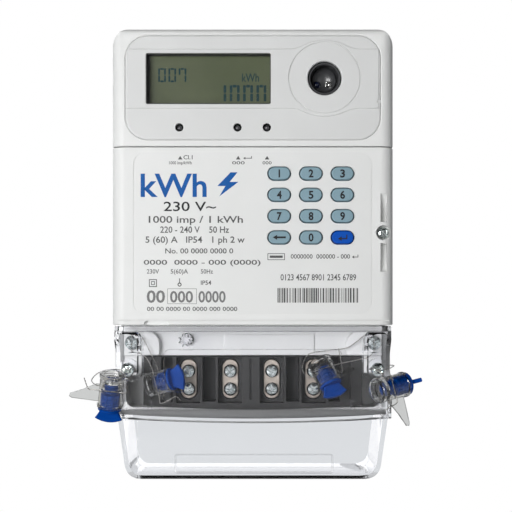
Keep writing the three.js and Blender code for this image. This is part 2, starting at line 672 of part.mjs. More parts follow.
// Each seal stands in its own frame: the rim is at the origin, the barrel runs down local -Z, the
// flat tag stands out along local +X, and the wire passes through on two chords along local X.
// Points are [x, depth, height]. "first" and "second" are the chords, each given by the end of
// local X where the wire goes in.
const SEALS = {
  outer_left: {
    rim: [-63.5, 74.8, 51.5],
    end: [-65.4, 70.4, 36.1],
    tag: [-1, 0, -0.05],
    tagLength: 13,
    flag: [1, 0, 0],
    loose: [[-76.4, 75, 49.6], [-75.4, 75.6, 46.8], [-74.2, 76, 44.6]],
    first: 1,
    loop: [[-57, 71, 48.2], [-55.4, 64, 51]],
    anchor: [[-54.9, 55.7, 52.4], [-58.6, 55.7, 52.4], [-62.3, 55.7, 52.4]],
    back: [[-66.4, 57.4, 52.4], [-71.8, 61.4, 51], [-74.2, 65.4, 48]],
    second: 1,
  },
  outer_right: {
    rim: [56, 76.2, 43.5],
    end: [69.5, 68.2, 46.3],
    tag: [0.35, 0, -0.94],
    tagLength: 13,
    flag: [0.3, 1, 0],
    loose: [[60.2, 76.2, 35.2], [62.4, 77, 36.6]],
    first: 1,
    loop: [[61.6, 71, 54.6], [65.4, 62, 54.4]],
    anchor: [[62.3, 55.7, 52.4], [58.6, 55.7, 52.4], [54.9, 55.7, 52.4]],
    back: [[54.9, 60, 53.4], [55.6, 66, 53.4]],
    second: -1,
  },
  inner_left: {
    rim: [-49.3, 49.2, 44.8],
    end: [-39.1, 52.6, 47.5],
    tag: [0.2, 0, -1],
    tagLength: 5,
    flag: [0, 0, 1],
    loose: [[-33.6, 56, 37.8], [-36, 55.8, 39.8], [-39.4, 55.4, 38], [-43.4, 54.6, 36.6]],
    first: 1,
    loop: [[-49.8, 52.4, 57.4], [-53.2, 50.2, 60]],
    anchor: [[-57.3, 48.75, 61.3], [-57.3, 48.75, 65.2], [-57.3, 48.75, 69]],
    back: [[-55.4, 49, 69.6], [-52.2, 49.2, 67], [-49.2, 49.4, 61.6]],
    second: -1,
  },
  inner_right: {
    rim: [31.3, 49.6, 56.5],
    end: [36.2, 54.2, 46],
    tag: [0.9, 0, -0.45],
    tagLength: 9,
    flag: [0.9, 0, -0.43],
    loose: [[40.6, 47.4, 62], [42, 46.4, 55], [42.2, 45.5, 50.4], [41, 45.3, 50.9]],
    first: 1,
    loop: [[23.4, 51.6, 52], [26, 48.6, 59], [35, 47.8, 61], [45, 49.2, 62.6], [53.4, 49.4, 68.4]],
    anchor: [[57.3, 48.75, 69], [57.3, 48.75, 65.2], [57.3, 48.75, 61.3]],
    back: [[55.2, 49.4, 58.4], [49.6, 50, 56.8]],
    second: 1,
  },
};

function vector([x, depth, z]) {
  return new THREE.Vector3(x, -depth, z);
}

// The placing matrix of a seal: local +Z from its flag end to its rim, local +X nearest "aside".
function sealFrame(rim, end, aside) {
  const up = vector(rim).sub(vector(end)).normalize();
  const side = new THREE.Vector3(...aside);
  side.addScaledVector(up, -side.dot(up)).normalize();
  const across = new THREE.Vector3().crossVectors(up, side);
  return new THREE.Matrix4().makeBasis(side, across, up).setPosition(vector(rim));
}

// A lathe about local Z from [radius, height] points that start and end on the axis.
function turned(points, sides) {
  const build = (list) => {
    const profile = list.map(([u, v]) => new THREE.Vector2(u, v));
    return solid(new THREE.LatheGeometry(profile, sides).rotateX(Math.PI / 2));
  };
  const made = build(points);
  return made.volume() < 0 ? build([...points].reverse()) : made;
}

function block(x0, x1, y0, y1, z0, z1) {
  return box(x0, x1, -y1, -y0, z0, z1);
}

function placed(manifold, matrix) {
  return solid(geometryOf(manifold).applyMatrix4(matrix));
}

// The clear barrel: a cup at the rim, a chamber for the rotor below it, and the flat tag.
function makeBarrel(seal, length, holeHeight) {
  const { outer, inner } = SEAL;
  const cup = turned(
    [
      [0, -4],
      [inner, -4],
      [inner, -length],
      [outer, -length],
      [outer, 0],
      [inner - 0.2, 0],
      [inner - 0.2, -2.4],
      [0, -2.4],
    ],
    16,
  );
  const tagTop = -length * 0.34;
  const tag = block(outer - 0.6, outer + seal.tagLength, -0.45, 0.45, -length * 0.86, tagTop);
  const holes = [-SEAL.chord, SEAL.chord].map((y) => rodAcross(-7, 7, -y, holeHeight, 0.7, 8));
  return cut(cup.add(tag), holes);
}

// The rotor: a thin hub that the wire winds on, a ratchet core, an end disc and the finger flag.
function makeRotor(length) {
  const { hub, core, disc } = SEAL;
  const coreTop = -length * 0.58;
  const body = turned(
    [
      [0, -4.4],
      [hub, -4.4],
      [hub, coreTop],
      [core, coreTop],
      [core, -length - 0.4],
      [disc, -length - 0.4],
      [disc, -length - 1.4],
      [0, -length - 1.4],
    ],
    14,
  );
  const low = -length - 7.4;
  const outline = new THREE.Shape();
  outline.moveTo(-4, -length - 1);
  outline.lineTo(-6.2, low + 1.6);
  outline.quadraticCurveTo(0, low - 1.6, 6.2, low + 1.6);
  outline.lineTo(4, -length - 1);
  return body.add(frontPrism(outline, -1, 1, 4));
}

function wirePath(seal, frame, holeHeight) {
  const chord = (y, start) =>
    [7, 2.4, -2.4, -7].map((x) => new THREE.Vector3(x * start, y, holeHeight).applyMatrix4(frame));
  const world = (points) => points.map(vector);
  return new THREE.CatmullRomCurve3([
    ...world(seal.loose),
    ...chord(SEAL.chord, seal.first),
    ...world(seal.loop),
    ...world(seal.anchor),
    ...world(seal.back),
    ...chord(-SEAL.chord, seal.second),
  ], false, "centripetal");
}

function makeWire(path) {
  const section = new THREE.Shape().absarc(0, 0, SEAL.wire, 0, 2 * Math.PI, false);
  const options = { steps: 36, curveSegments: 3, bevelEnabled: false, extrudePath: path };
  return solid(new THREE.ExtrudeGeometry(section, options));
}

function addSeal(place, seal) {
  const length = vector(seal.rim).distanceTo(vector(seal.end));
  const holeHeight = -length * 0.46;
  const frame = sealFrame(seal.rim, seal.end, seal.tag);
  const rotorFrame = sealFrame(seal.rim, seal.end, seal.flag);
  addNode(`seal_${place}_barrel`, "clear", placed(makeBarrel(seal, length, holeHeight), frame));
  addNode(`seal_${place}_rotor`, "seal_blue", placed(makeRotor(length), rotorFrame));
  addNode(`seal_${place}_wire`, "steel", makeWire(wirePath(seal, frame, holeHeight)));
}

// ---- Assembly -----------------------------------------------------------------------------

addNode("base", "case_grey", makeBase());
addNode("upper_front_cover", "case_grey", makeUpperCover());
addNode("lower_front_cover", "case_grey", makeLowerCover());
addNode("display_panel", "panel_grey", makeDisplayPanel());

const windowBack = PANEL_FRONT - PANEL_THICKNESS - GAP - 1.6;
const { left, right, bottom, top } = WINDOW;
const windowPlate = roundRect(left - 2, right + 2, bottom - 2, top + 2, 1);
addNode("lcd_window", "clear", frontPrism(windowPlate, windowBack, windowBack + 1.6, 2));
addNode("lcd_module", "lcd", box(left - 3, right + 3, 54, 60.8, bottom - 3, top + 3));
makePort();
addNode("led_bar", "black", makeLedBar());
addNode("main_pcb", "board", makeBoard());
addNode("keypad_mat", "rubber", makeKeypadMat());
KEY_ROWS.forEach((row, i) =>
  KEY_COLUMNS.forEach((column, j) => {
    const name = KEY_NAMES[i][j];
    const colour = name === "key_enter" ? "key_blue" : "key_blue_grey";
    addNode(name, colour, makeKey(column, row));
  }),
);
addNode("relay", "black", makeRelay());
addNode("current_transformer", "black", makeCurrentTransformer());
addNode("mains_capacitor", "copper", makeCapacitor());
addNode("battery", "rubber", makeBattery());

addNode("terminal_block", "black", makeTerminalBlock());
TERMINAL_X.forEach((x, i) => {
  const name = TERMINAL_NAMES[i];
  addNode(`terminal_${name}`, "nickel", makeTerminal(x));
  for (const [place, z] of Object.entries(TERMINAL_SCREW_Z)) {
    addNode(`screw_${name}_${place}`, "steel", makeScrew(x, z, TERMINAL_SCREW));
  }
});
addNode("side_screw", "steel", makeScrew(SIDE_SCREW.x, SIDE_SCREW.z, SIDE_SCREW));
for (const [side, sign] of [["left", -1], ["right", 1]]) {
  const caseX = sign * CASE_SCREW.x;
  const { z: caseZ, wireDepth: caseWire } = CASE_SCREW;
  const caseScrew = makeScrew(caseX, caseZ, CASE_SCREW);
  const caseHole = rodUp(caseX, caseWire, WIRE_HOLE, caseZ - 10, caseZ + 10, 8);
  addNode(`case_screw_${side}`, "steel", caseScrew.subtract(caseHole));
  const coverX = sign * COVER_SCREW.x;
  const { z: coverZ, wireDepth: coverWire } = COVER_SCREW;
  const coverScrew = makeScrew(coverX, coverZ, COVER_SCREW);
  const coverHole = rodAcross(coverX - 5, coverX + 5, coverWire, coverZ, WIRE_HOLE, 8);
  addNode(`cover_screw_${side}`, "steel", coverScrew.subtract(coverHole));
}
addNode("terminal_cover", "clear", makeTerminalCover());
const plungerHead = rodOut(PLUNGER.x, PLUNGER.z, 2.6, 41.5, 46.1, 16);
const plungerStem = rodOut(PLUNGER.x, PLUNGER.z, 1.6, 36.2, 42, 12);
addNode("tamper_plunger", "case_grey", plungerHead.add(plungerStem));

Object.entries(SEALS).forEach(([place, seal]) => addSeal(place, seal));

meter.children.forEach((mesh) => mesh.position.setZ(-CASE_CENTRE));

export default meter;
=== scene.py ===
import json
import math
import random
from types import SimpleNamespace

import bmesh
import bpy
from mathutils import Matrix, Vector

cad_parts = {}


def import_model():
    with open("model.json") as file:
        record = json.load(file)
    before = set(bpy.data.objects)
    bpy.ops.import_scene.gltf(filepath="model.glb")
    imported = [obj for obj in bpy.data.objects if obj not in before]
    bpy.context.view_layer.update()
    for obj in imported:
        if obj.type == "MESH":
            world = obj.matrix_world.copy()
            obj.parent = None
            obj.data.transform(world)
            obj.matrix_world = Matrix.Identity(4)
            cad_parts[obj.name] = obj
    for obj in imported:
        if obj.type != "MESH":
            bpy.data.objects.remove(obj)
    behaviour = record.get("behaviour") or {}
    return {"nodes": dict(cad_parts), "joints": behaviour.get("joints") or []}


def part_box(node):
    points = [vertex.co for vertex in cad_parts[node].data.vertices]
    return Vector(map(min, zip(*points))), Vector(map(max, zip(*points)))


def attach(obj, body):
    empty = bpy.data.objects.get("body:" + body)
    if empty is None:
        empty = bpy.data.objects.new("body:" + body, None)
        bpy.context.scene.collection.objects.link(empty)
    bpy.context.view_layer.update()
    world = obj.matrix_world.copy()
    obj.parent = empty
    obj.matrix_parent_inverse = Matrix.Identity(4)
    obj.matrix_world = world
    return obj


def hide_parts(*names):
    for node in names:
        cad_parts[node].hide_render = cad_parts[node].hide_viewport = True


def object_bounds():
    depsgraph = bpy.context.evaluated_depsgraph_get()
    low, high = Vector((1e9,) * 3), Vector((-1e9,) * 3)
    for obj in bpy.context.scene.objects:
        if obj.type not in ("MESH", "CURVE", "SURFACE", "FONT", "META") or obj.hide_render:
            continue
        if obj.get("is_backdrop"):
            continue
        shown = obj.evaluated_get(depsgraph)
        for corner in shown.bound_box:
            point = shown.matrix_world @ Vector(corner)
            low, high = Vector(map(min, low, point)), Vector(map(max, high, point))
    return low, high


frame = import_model()
cad_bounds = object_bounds()

# Shapes are written in millimetres as (x, depth, height). Depth is measured from the wall towards
# the viewer, and height from the bottom edge of the clear skirt, so depth is -y in the frame.
MM = 0.001
SKIRT_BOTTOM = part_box("terminal_cover")[0].z / MM
QUARTER = math.pi / 2


def span(node):
    """A CAD node's box in the script's own millimetres."""
    low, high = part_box(node)
    left, right = low.x / MM, high.x / MM
    back, front = -high.y / MM, -low.y / MM
    bottom, top = low.z / MM - SKIRT_BOTTOM, high.z / MM - SKIRT_BOTTOM
    return SimpleNamespace(
        left=left, right=right, back=back, front=front, bottom=bottom, top=top,
        x=(left + right) / 2, z=(bottom + top) / 2,
    )


# ---- Sizes ----------------------------------------------------------------------------------

BASE = span("base")
UPPER = span("upper_front_cover")
LOWER = span("lower_front_cover")
PANEL = span("display_panel")
LCD = span("lcd_module")
PORT = span("port_sleeve")
BLOCK = span("terminal_block")
COVER = span("terminal_cover")

CASE_CORNER = 8.5
BASE_CORNER = 5.0
FRONT_EDGE = 6.0
FRONT_EDGE_TOP = 3.2
WALL = 2.4
GAP = 0.3
SEAM_CHAMFER = 0.35
COVER_LOW = 73.4
THROUGH = (60, 70)
ARC = 14

KEYHOLE = SimpleNamespace(head=193.0, slot=198.4, radius=5.2, half=2.6)
FIXING = SimpleNamespace(x=57.6, z=38.0, radius=2.6, web=0.8)
BACK_RECESSES = ((-52, 52, 62, 112), (-52, 52, 120, 176))

PANEL_CORNER = 10.6
PANEL_EDGE = 0.9
BAND_STEP = 0.3
BAND = SimpleNamespace(bottom=173.0, top=200.5, bulge=17.6, softness=1.6)
WINDOW = SimpleNamespace(left=-49.2, right=8.3, bottom=175.1, top=198.5)
DISC_RADIUS = 16.4
PORT_HOLE = 7.8
LED_X = (-33.8, -7.0, 6.5)
LED_Z = 164.4
LED_HOLE = 1.9

KEYS = [f"key_{name}" for name in "123456789"] + ["key_back", "key_0", "key_enter"]
KEY_OPENING = SimpleNamespace(width=11.0, height=6.7)
KEY_CAP = SimpleNamespace(width=10.0, height=5.7, edge=0.45)
KEY_FLANGE_FRONT = LOWER.front - WALL - 0.4
NUMERAL_HEIGHT = 3.5
INK = 0.02
FONT_CAPITAL = 0.7

LABEL = SimpleNamespace(left=-54.7, right=54.7, bottom=78.5, top=152.8, corner=5.5, sink=0.25)

SHELF_DEPTH = 43.0
SHELF_BOTTOM = 58.7
SHELF_HALF = 61.2
CHEEK_BOTTOM = 50.5
BOSS_DEPTH = 47.0
SIDE_SCREW = span("side_screw")
SIDE_POST = SimpleNamespace(x=60.3, z=115.9)
CASE_SCREW = SimpleNamespace(x=57.3, z=65.2, bore=48.75, hole=2.2)
COVER_SCREW = SimpleNamespace(x=58.6, z=52.4, bore=55.7, hole=2.2)
PLUNGER = SimpleNamespace(x=-31.4, z=66.3, hole=3.0)

TERMINALS = ("live_in", "live_out", "neutral_out", "neutral_in")
BLOCK_CELL = SimpleNamespace(left=5.6, right=5.7, bottom=35.9, top=57.6, back=36.0)
BLOCK_SLOTS = ((-43.7, -38.4), (-24.0, -17.8), (16.0, 22.2), (36.2, 41.5))

CLEAR_FRONT = 65.0
CLEAR_WALL = 2.0
SKIRT_TOP = 29.7
SKIRT_DEPTH = 52.0
COVER_BACK = 24.3
LIP_BOTTOM = 28
HOOD = SimpleNamespace(half=50.4, low=10.3, corner=4.2)
KNOCK_OUT = SimpleNamespace(left=-36.6, right=37.6, bottom=3.6, top=11.9)
WELL = SimpleNamespace(inner=53.4, bottom=47.6, top=69.2, floor=54.0)

SEAL_PLACES = ("outer_left", "outer_right", "inner_left", "inner_right")
SEAL = SimpleNamespace(outer=5.9, inner=4.7, core=4.2, hub=1.9, disc=5.3, chord=3.2, hole=0.46)

# ---- Outlines -------------------------------------------------------------------------------


def arc(u, v, radius, start, stop, steps=ARC):
    angles = [start + (stop - start) * i / steps for i in range(steps + 1)]
    return [(u + radius * math.cos(a), v + radius * math.sin(a)) for a in angles]


def circle(u, v, radius, steps=64):
    return arc(u, v, radius, 0, 2 * math.pi, steps)[:-1]


def round_rect(left, right, bottom, top, radii, steps=ARC):
    """An outline with its own radius at each corner: top left, top right, bottom right, bottom left."""
    if not isinstance(radii, tuple):
        radii = (radii,) * 4
    tl, tr, br, bl = radii
    corners = [
        (left + bl, bottom + bl, bl, 2),
        (right - br, bottom + br, br, 3),
        (right - tr, top - tr, tr, 0),
        (left + tl, top - tl, tl, 1),
    ]
    points = []
    for u, v, radius, quarter in corners:
        if radius:
            points += arc(u, v, radius, quarter * QUARTER, (quarter + 1) * QUARTER, steps)
        else:
            points.append((u, v))
    return points


def pill(u, v, width, height, steps=ARC):
    radius = min(width, height) / 2 - 0.005
    return round_rect(u - width / 2, u + width / 2, v - height / 2, v + height / 2, radius, steps)


def quarter_steps(steps):
    return [i * QUARTER / steps for i in range(steps + 1)]


def bend(start, control, stop, steps=10):
    """A quadratic curve's points, without its first one."""
    points = []
    for i in range(1, steps + 1):
        t = i / steps
        weights = ((1 - t) ** 2, 2 * t * (1 - t), t * t)
        u = sum(w * p[0] for w, p in zip(weights, (start, control, stop)))
        v = sum(w * p[1] for w, p in zip(weights, (start, control, stop)))
        points.append((u, v))
    return points


def offset(points, distance):
    """The outline moved outwards by a distance, whichever way round it runs."""
    if not distance:
        return list(points)
    count = len(points)
    area = sum(
        points[i - 1][0] * points[i][1] - points[i][0] * points[i - 1][1] for i in range(count)
    )
    distance = math.copysign(distance, distance * area)
    moved = []
    for i in range(count):
        here = Vector(points[i])
        before = (here - Vector(points[i - 1])).normalized()
        after = (Vector(points[(i + 1) % count]) - here).normalized()
        normal = Vector((before.y + after.y, -before.x - after.x))
        share = max(1 + before.dot(after), 0.2)
        moved.append(tuple(here + normal * distance / share))
    return moved


# ---- Meshes ---------------------------------------------------------------------------------

SMOOTH_ANGLE = 32
CASE_SPACE = Matrix(
    ((MM, 0, 0, 0), (0, -MM, 0, 0), (0, 0, MM, SKIRT_BOTTOM * MM), (0, 0, 0, 1))
)


def outwards(x, z):
    """A turned part's space with its axis straight out of the wall: (across, up, depth)."""
    return CASE_SPACE @ Matrix(((1, 0, 0, x), (0, 0, 1, 0), (0, 1, 0, z), (0, 0, 0, 1)))


def upright(x, depth):
    return CASE_SPACE @ Matrix(((1, 0, 0, x), (0, 1, 0, depth), (0, 0, 1, 0), (0, 0, 0, 1)))


def sideways(depth, z):
    return CASE_SPACE @ Matrix(((0, 0, 1, 0), (1, 0, 0, depth), (0, 1, 0, z), (0, 0, 0, 1)))


def linked(mesh):
    part = bpy.data.objects.new("part", mesh)
    bpy.context.scene.collection.objects.link(part)
    return part


def sealed(mesh):
    """A mesh with its doubled points merged and its faces turned outwards, as an object."""
    net = bmesh.new()
    net.from_mesh(mesh)
    bmesh.ops.remove_doubles(net, verts=net.verts, dist=1e-7)
    bmesh.ops.recalc_face_normals(net, faces=net.faces)
    net.to_mesh(mesh)
    net.free()
    return linked(mesh)


def made(points, faces, space=CASE_SPACE):
    mesh = bpy.data.meshes.new("part")
    mesh.from_pydata([space @ Vector(p) for p in points], [], faces)
    return sealed(mesh)


def loft(rings, space=CASE_SPACE):
    """A skin over rings with the same number of points, with both ends capped."""
    count = len(rings[0])
    points = [p for ring in rings for p in ring]
    faces = []
    for k in range(len(rings) - 1):
        low, high = k * count, (k + 1) * count
        for i in range(count):
            j = (i + 1) % count
            faces.append((low + i, low + j, high + j, high + i))
    faces.append(tuple(reversed(range(count))))
    faces.append(tuple(range(len(points) - count, len(points))))
    return made(points, faces, space)


def front_loft(outline, profile):
    """An (x, z) outline carried through (outset, depth) stations."""
    return loft([[(x, depth, z) for x, z in offset(outline, out)] for out, depth in profile])


def plan_loft(outline, profile):
    """An (x, depth) outline carried through (outset, height) stations."""
    return loft([[(x, depth, z) for x, depth in offset(outline, out)] for out, z in profile])


def side_prism(outline, x0, x1):
    """A (depth, z) outline between two x values."""
    return loft([[(x, depth, z) for depth, z in outline] for x in (x0, x1)])


def rounded(back, front, edge, steps=5):
    """Stations of a plate whose front edge is rounded."""
    curve = quarter_steps(steps)
    return [(0, back)] + [(edge * (math.cos(a) - 1), front - edge + edge * math.sin(a)) for a in curve]


def flared(back, front, lip, steps=4):
    """Stations of a cutter that leaves a rounded edge where it comes out of a front face."""
    flare = [
        (lip * (1 - math.cos(a)), front - lip + lip * math.sin(a)) for a in quarter_steps(steps)
    ]
    return [(0, back)] + flare + [(lip, front + 3)]


def plate(outline, back, front, edge=0.0):
    return front_loft(outline, rounded(back, front, edge) if edge else [(0, back), (0, front)])


def bite(outline, back, front, lip=0.0):
    return front_loft(outline, flared(back, front, lip) if lip else [(0, back), (0, front)])


def box(x0, x1, depth0, depth1, z0, z1):
    return front_loft([(x0, z0), (x1, z0), (x1, z1), (x0, z1)], [(0, depth0), (0, depth1)])


def turned(profile, space, steps=48):
    """A lathe about the space's third axis from (radius, height) points."""
    ring = profile + [profile[0]] if profile[0][0] and profile[-1][0] else profile
    points = []
    for i in range(steps):
        angle = 2 * math.pi * i / steps
        points += [(r * math.cos(angle), r * math.sin(angle), h) for r, h in ring]
    count = len(ring)
    faces = []
    for i in range(steps):
        here, after = i * count, (i + 1) % steps * count
        faces += [(here + j, after + j, after + j + 1, here + j + 1) for j in range(count - 1)]
    return made(points, faces, space)


def rod(space, radius, h0, h1, steps=40):
    return turned([(0, h0), (radius, h0), (radius, h1), (0, h1)], space, steps)


def combine(target, tools, operation):
    for tool in tools:
        modifier = target.modifiers.new(operation, "BOOLEAN")
        modifier.operation = operation
        modifier.solver = "MANIFOLD"
        modifier.object = tool
        depsgraph = bpy.context.evaluated_depsgraph_get()
        mesh = bpy.data.meshes.new_from_object(target.evaluated_get(depsgraph))
        target.modifiers.clear()
        old = target.data
        target.data = mesh
        bpy.data.meshes.remove(old)
        discard(tool)
    return target


def discard(part):
    mesh = part.data
    bpy.data.objects.remove(part)
    bpy.data.meshes.remove(mesh)


def cut(target, *tools):
    return combine(target, tools, "DIFFERENCE")


def join(target, *tools):
    return combine(target, tools, "UNION")


def common(target, *tools):
    return combine(target, tools, "INTERSECT")


def copied(part):
    copy = part.copy()
    copy.data = part.data.copy()
    bpy.context.scene.collection.objects.link(copy)
    return copy


def gather(parts):
    """Several separate solids as one object."""
    net = bmesh.new()
    for part in parts:
        net.from_mesh(part.data)
        discard(part)
    mesh = bpy.data.meshes.new("part")
    net.to_mesh(mesh)
    net.free()
    return linked(mesh)


def piece(part, name, material, body, slot, *nodes):
    """Names, paints and shades a finished mesh and hangs it on a CAD body."""
    part.name = name
    part.data.name = name
    part.data.materials.clear()
    part.data.materials.append(material)
    part.data.shade_smooth()
    part.data.set_sharp_from_angle(angle=math.radians(SMOOTH_ANGLE))
    weighted = part.modifiers.new("weighted_normals", "WEIGHTED_NORMAL")
    weighted.keep_sharp = True
    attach(part, body)
    if nodes:
        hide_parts(*nodes)
    return part


# ---- Materials ------------------------------------------------------------------------------

SHADOW_TINT = -0.07


def fed(tree, kind, inputs, **settings):
    """A new node with each input set to a value or linked to another node's output."""
    node = tree.nodes.new(f"ShaderNode{kind}")
    for name, value in settings.items():
        setattr(node, name, value)
    for name, source in inputs.items():
        feed(tree, node.inputs[name], source)
    return node.outputs


def feed(tree, socket, source):
    if isinstance(source, bpy.types.NodeSocket):
        tree.links.new(source, socket)
    else:
        socket.default_value = source


def arithmetic(tree, operation, first, second, clamp=False):
    return fed(tree, "Math", {0: first, 1: second}, operation=operation, use_clamp=clamp)[0]


def mixed(tree, factor, first, second):
    """A shader that is the first where the factor is 0 and the second where it is 1."""
    return fed(tree, "MixShader", {0: factor, 1: first, 2: second})[0]


class Shader:
    """A material's node tree, with short calls for the nodes that every finish here uses."""

    def __init__(self, name):
        self.material = bpy.data.materials.new(name)
        self.material.use_nodes = True
        self.nodes = self.material.node_tree.nodes
        self.links = self.material.node_tree.links
        self.main = self.nodes["Principled BSDF"]
        self.output = self.nodes["Material Output"]
        self.place = fed(self, "TexCoord", {})["Object"]

    def noise(self, size_mm, detail=3.0, stretch=(1, 1, 1)):
        """A noise factor whose features are about size_mm across."""
        mapped = fed(self, "Mapping", {"Scale": stretch, "Vector": self.place})[0]
        return fed(self, "TexNoise", {"Scale": 1 / (size_mm * MM), "Detail": detail, "Vector": mapped})[0]

    def span(self, factor, low, high, start=0.3, stop=0.7):
        ends = {"From Min": start, "From Max": stop, "To Min": low, "To Max": high}
        return fed(self, "MapRange", {**ends, "Value": factor})["Result"]

    def blend(self, factor, first, second):
        ends = {"A": (*first, 1), "B": (*second, 1)}
        return fed(self, "Mix", {**ends, "Factor": factor}, data_type="RGBA")["Result"]

    def bump(self, factor, height_mm, strength=1.0, before=None):
        inputs = {"Strength": strength, "Distance": height_mm * MM, "Height": factor}
        if before is not None:
            inputs["Normal"] = before
        return fed(self, "Bump", inputs)["Normal"]

    def drive(self, socket, source):
        feed(self, self.main.inputs[socket], source)

    def show(self, surface):
        self.links.new(surface, self.output.inputs["Surface"])


def tinted(colour, share):
    return tuple(min(1.0, c * (1 + share)) for c in colour)


def moulded(name, colour, roughness, grain=0.35, height=0.012, variation=0.035, coat=0.0, ior=1.5):
    """A moulded plastic: fine spark-eroded grain, a slow drift of tone and uneven gloss."""
    shader = Shader(name)
    drift = shader.span(shader.noise(28, 2), 0, 1)
    speckle = shader.noise(0.5, 2)
    shader.drive("Base Color", shader.blend(drift, tinted(colour, -variation), tinted(colour, variation)))
    shader.drive("Roughness", shader.span(speckle, roughness - 0.06, roughness + 0.06))
    fine = shader.bump(shader.noise(grain, 4), height)
    shader.drive("Normal", shader.bump(shader.noise(14, 1), 0.02, 0.6, fine))
    shader.drive("IOR", ior)
    shader.drive("Coat Weight", coat)
    return shader.material


def clear(name, tint, roughness=0.03, ior=1.5, waves=0.02):
    """A clear moulding that lamps shine through, with the faint waviness of a moulded wall."""
    shader = Shader(name)
    shader.drive("Base Color", (*tint, 1))
    shader.drive("IOR", ior)
    shader.drive("Transmission Weight", 1.0)
    shader.drive("Roughness", shader.span(shader.noise(9, 2), roughness, roughness + 0.03))
    shader.drive("Normal", shader.bump(shader.noise(11, 1), waves, 0.5))
    shadow_ray = fed(shader, "LightPath", {})["Is Shadow Ray"]
    passing = fed(shader, "BsdfTransparent", {"Color": (*tinted(tint, SHADOW_TINT), 1)})[0]
    shader.show(mixed(shader, shadow_ray, shader.main.outputs[0], passing))
    return shader.material


def metal(name, light, dark, roughness, grain=0.5, height=0.008):
    shader = Shader(name)
    patch = shader.span(shader.noise(1.6, 3), 0, 1)
    shader.drive("Base Color", shader.blend(patch, dark, light))
    shader.drive("Metallic", 1.0)
    shader.drive("Roughness", shader.span(shader.noise(0.8, 3), roughness - 0.07, roughness + 0.1))
    shader.drive("Normal", shader.bump(shader.noise(grain, 3), height))
    return shader.material


def printed(name, colour, roughness=0.5):
    shader = Shader(name)
    shader.drive("IOR", 1.3)
    wear = shader.span(shader.noise(0.35, 2), 0, 1)
    shader.drive("Base Color", shader.blend(wear, tinted(colour, -0.08), tinted(colour, 0.12)))
    shader.drive("Roughness", shader.span(shader.noise(0.5, 2), roughness - 0.08, roughness + 0.08))
    return shader.material


def display_glass(name):
    """The reflective layer of a liquid crystal display: olive, with a slow drift of tone."""
    shader = Shader(name)
    cloud = shader.span(shader.noise(22, 2), 0, 1)
    shader.drive("Base Color", shader.blend(cloud, (0.050, 0.062, 0.022), (0.067, 0.079, 0.034)))
    shader.drive("Roughness", shader.span(shader.noise(0.3, 2), 0.32, 0.45))
    shader.drive("Normal", shader.bump(shader.noise(0.2, 2), 0.004))
    return shader.material


def board_mask(name):
    shader = Shader(name)
    tracks = shader.span(shader.noise(1.4, 0, (1, 1, 6)), 0, 1, 0.48, 0.52)
    shader.drive("Base Color", shader.blend(tracks, (0.012, 0.09, 0.035), (0.02, 0.15, 0.06)))
    shader.drive("Roughness", shader.span(shader.noise(2), 0.3, 0.45))
    shader.drive("Normal", shader.bump(tracks, 0.03))
    return shader.material


PAINT = SimpleNamespace(
    case=moulded("case_grey", (0.775, 0.78, 0.77), 0.5, grain=0.3, height=0.010, variation=0.02),
    panel=moulded("panel_grey", (0.67, 0.675, 0.67), 0.46, grain=0.3, height=0.006, variation=0.02),
    label=moulded("label_film", (0.755, 0.76, 0.75), 0.4, grain=0.25, height=0.004, variation=0.015),
    key=moulded("key_blue_grey", (0.205, 0.325, 0.385), 0.42, grain=0.25, height=0.006),
    key_blue=moulded("key_bright_blue", (0.0, 0.075, 0.44), 0.4, grain=0.25, height=0.006, ior=1.25),
    black=moulded("black_moulding", (0.022, 0.022, 0.024), 0.4, grain=0.3, height=0.01),
    block=moulded("block_charcoal", (0.016, 0.0155, 0.015), 0.5, grain=0.4, height=0.02, variation=0.12),
    plunger=moulded("plunger_grey", (0.62, 0.62, 0.62), 0.45),
    rotor=moulded("seal_blue", (0.0, 0.047, 0.28), 0.42, grain=0.5, height=0.01, variation=0.12, ior=1.15),
    rubber=moulded("silicone_grey", (0.30, 0.31, 0.32), 0.75, grain=0.2, height=0.02),
    capacitor=moulded("capacitor_yellow", (0.55, 0.42, 0.05), 0.35),
    battery=moulded("battery_sleeve", (0.09, 0.27, 0.15), 0.3),
    cover=clear("clear_cover", (0.95, 0.951, 0.965), 0.015, 1.36),
    window=clear("clear_window", (0.98, 0.99, 0.98), 0.01, 1.33, waves=0.004),
    barrel=clear("clear_barrel", (0.82, 0.81, 0.79), 0.03, 1.53),
    frosted=clear("frosted_lip", (0.33, 0.327, 0.322), 0.35, 1.45),
    gloss=moulded("gloss_black", (0.045, 0.046, 0.049), 0.36, height=0.002, coat=0.3),
    dark_lens=moulded("dark_lens", (0.004, 0.008, 0.03), 0.1, height=0.001, coat=0.5),
    lamp=moulded("lamp_lens", (0.05, 0.05, 0.055), 0.15, height=0.001, coat=0.6),
    chip=metal("diode_chip", (0.95, 0.95, 0.92), (0.12, 0.12, 0.14), 0.2, grain=0.7, height=0.25),
    zinc=metal("zinc_plate", (0.95, 0.98, 0.97), (0.45, 0.51, 0.50), 0.14),
    nickel=metal("nickel_brass", (0.52, 0.46, 0.40), (0.40, 0.35, 0.30), 0.38, grain=0.9, height=0.02),
    wire=metal("seal_wire", (0.62, 0.60, 0.57), (0.36, 0.34, 0.32), 0.3, grain=0.15),
    steel=metal("magnet_steel", (0.55, 0.55, 0.55), (0.45, 0.45, 0.46), 0.35),
    lcd=display_glass("display_glass"),
    segment=printed("display_segment", (0.002, 0.026, 0.034), 0.5),
    board=board_mask("board_green"),
    ink=printed("ink_black", (0.02, 0.02, 0.022)),
    grey_ink=printed("ink_grey", (0.10, 0.10, 0.10)),
    pale_ink=printed("ink_pale", (0.18, 0.18, 0.18)),
    blue_ink=printed("ink_blue", (0.0, 0.09, 0.35)),
)

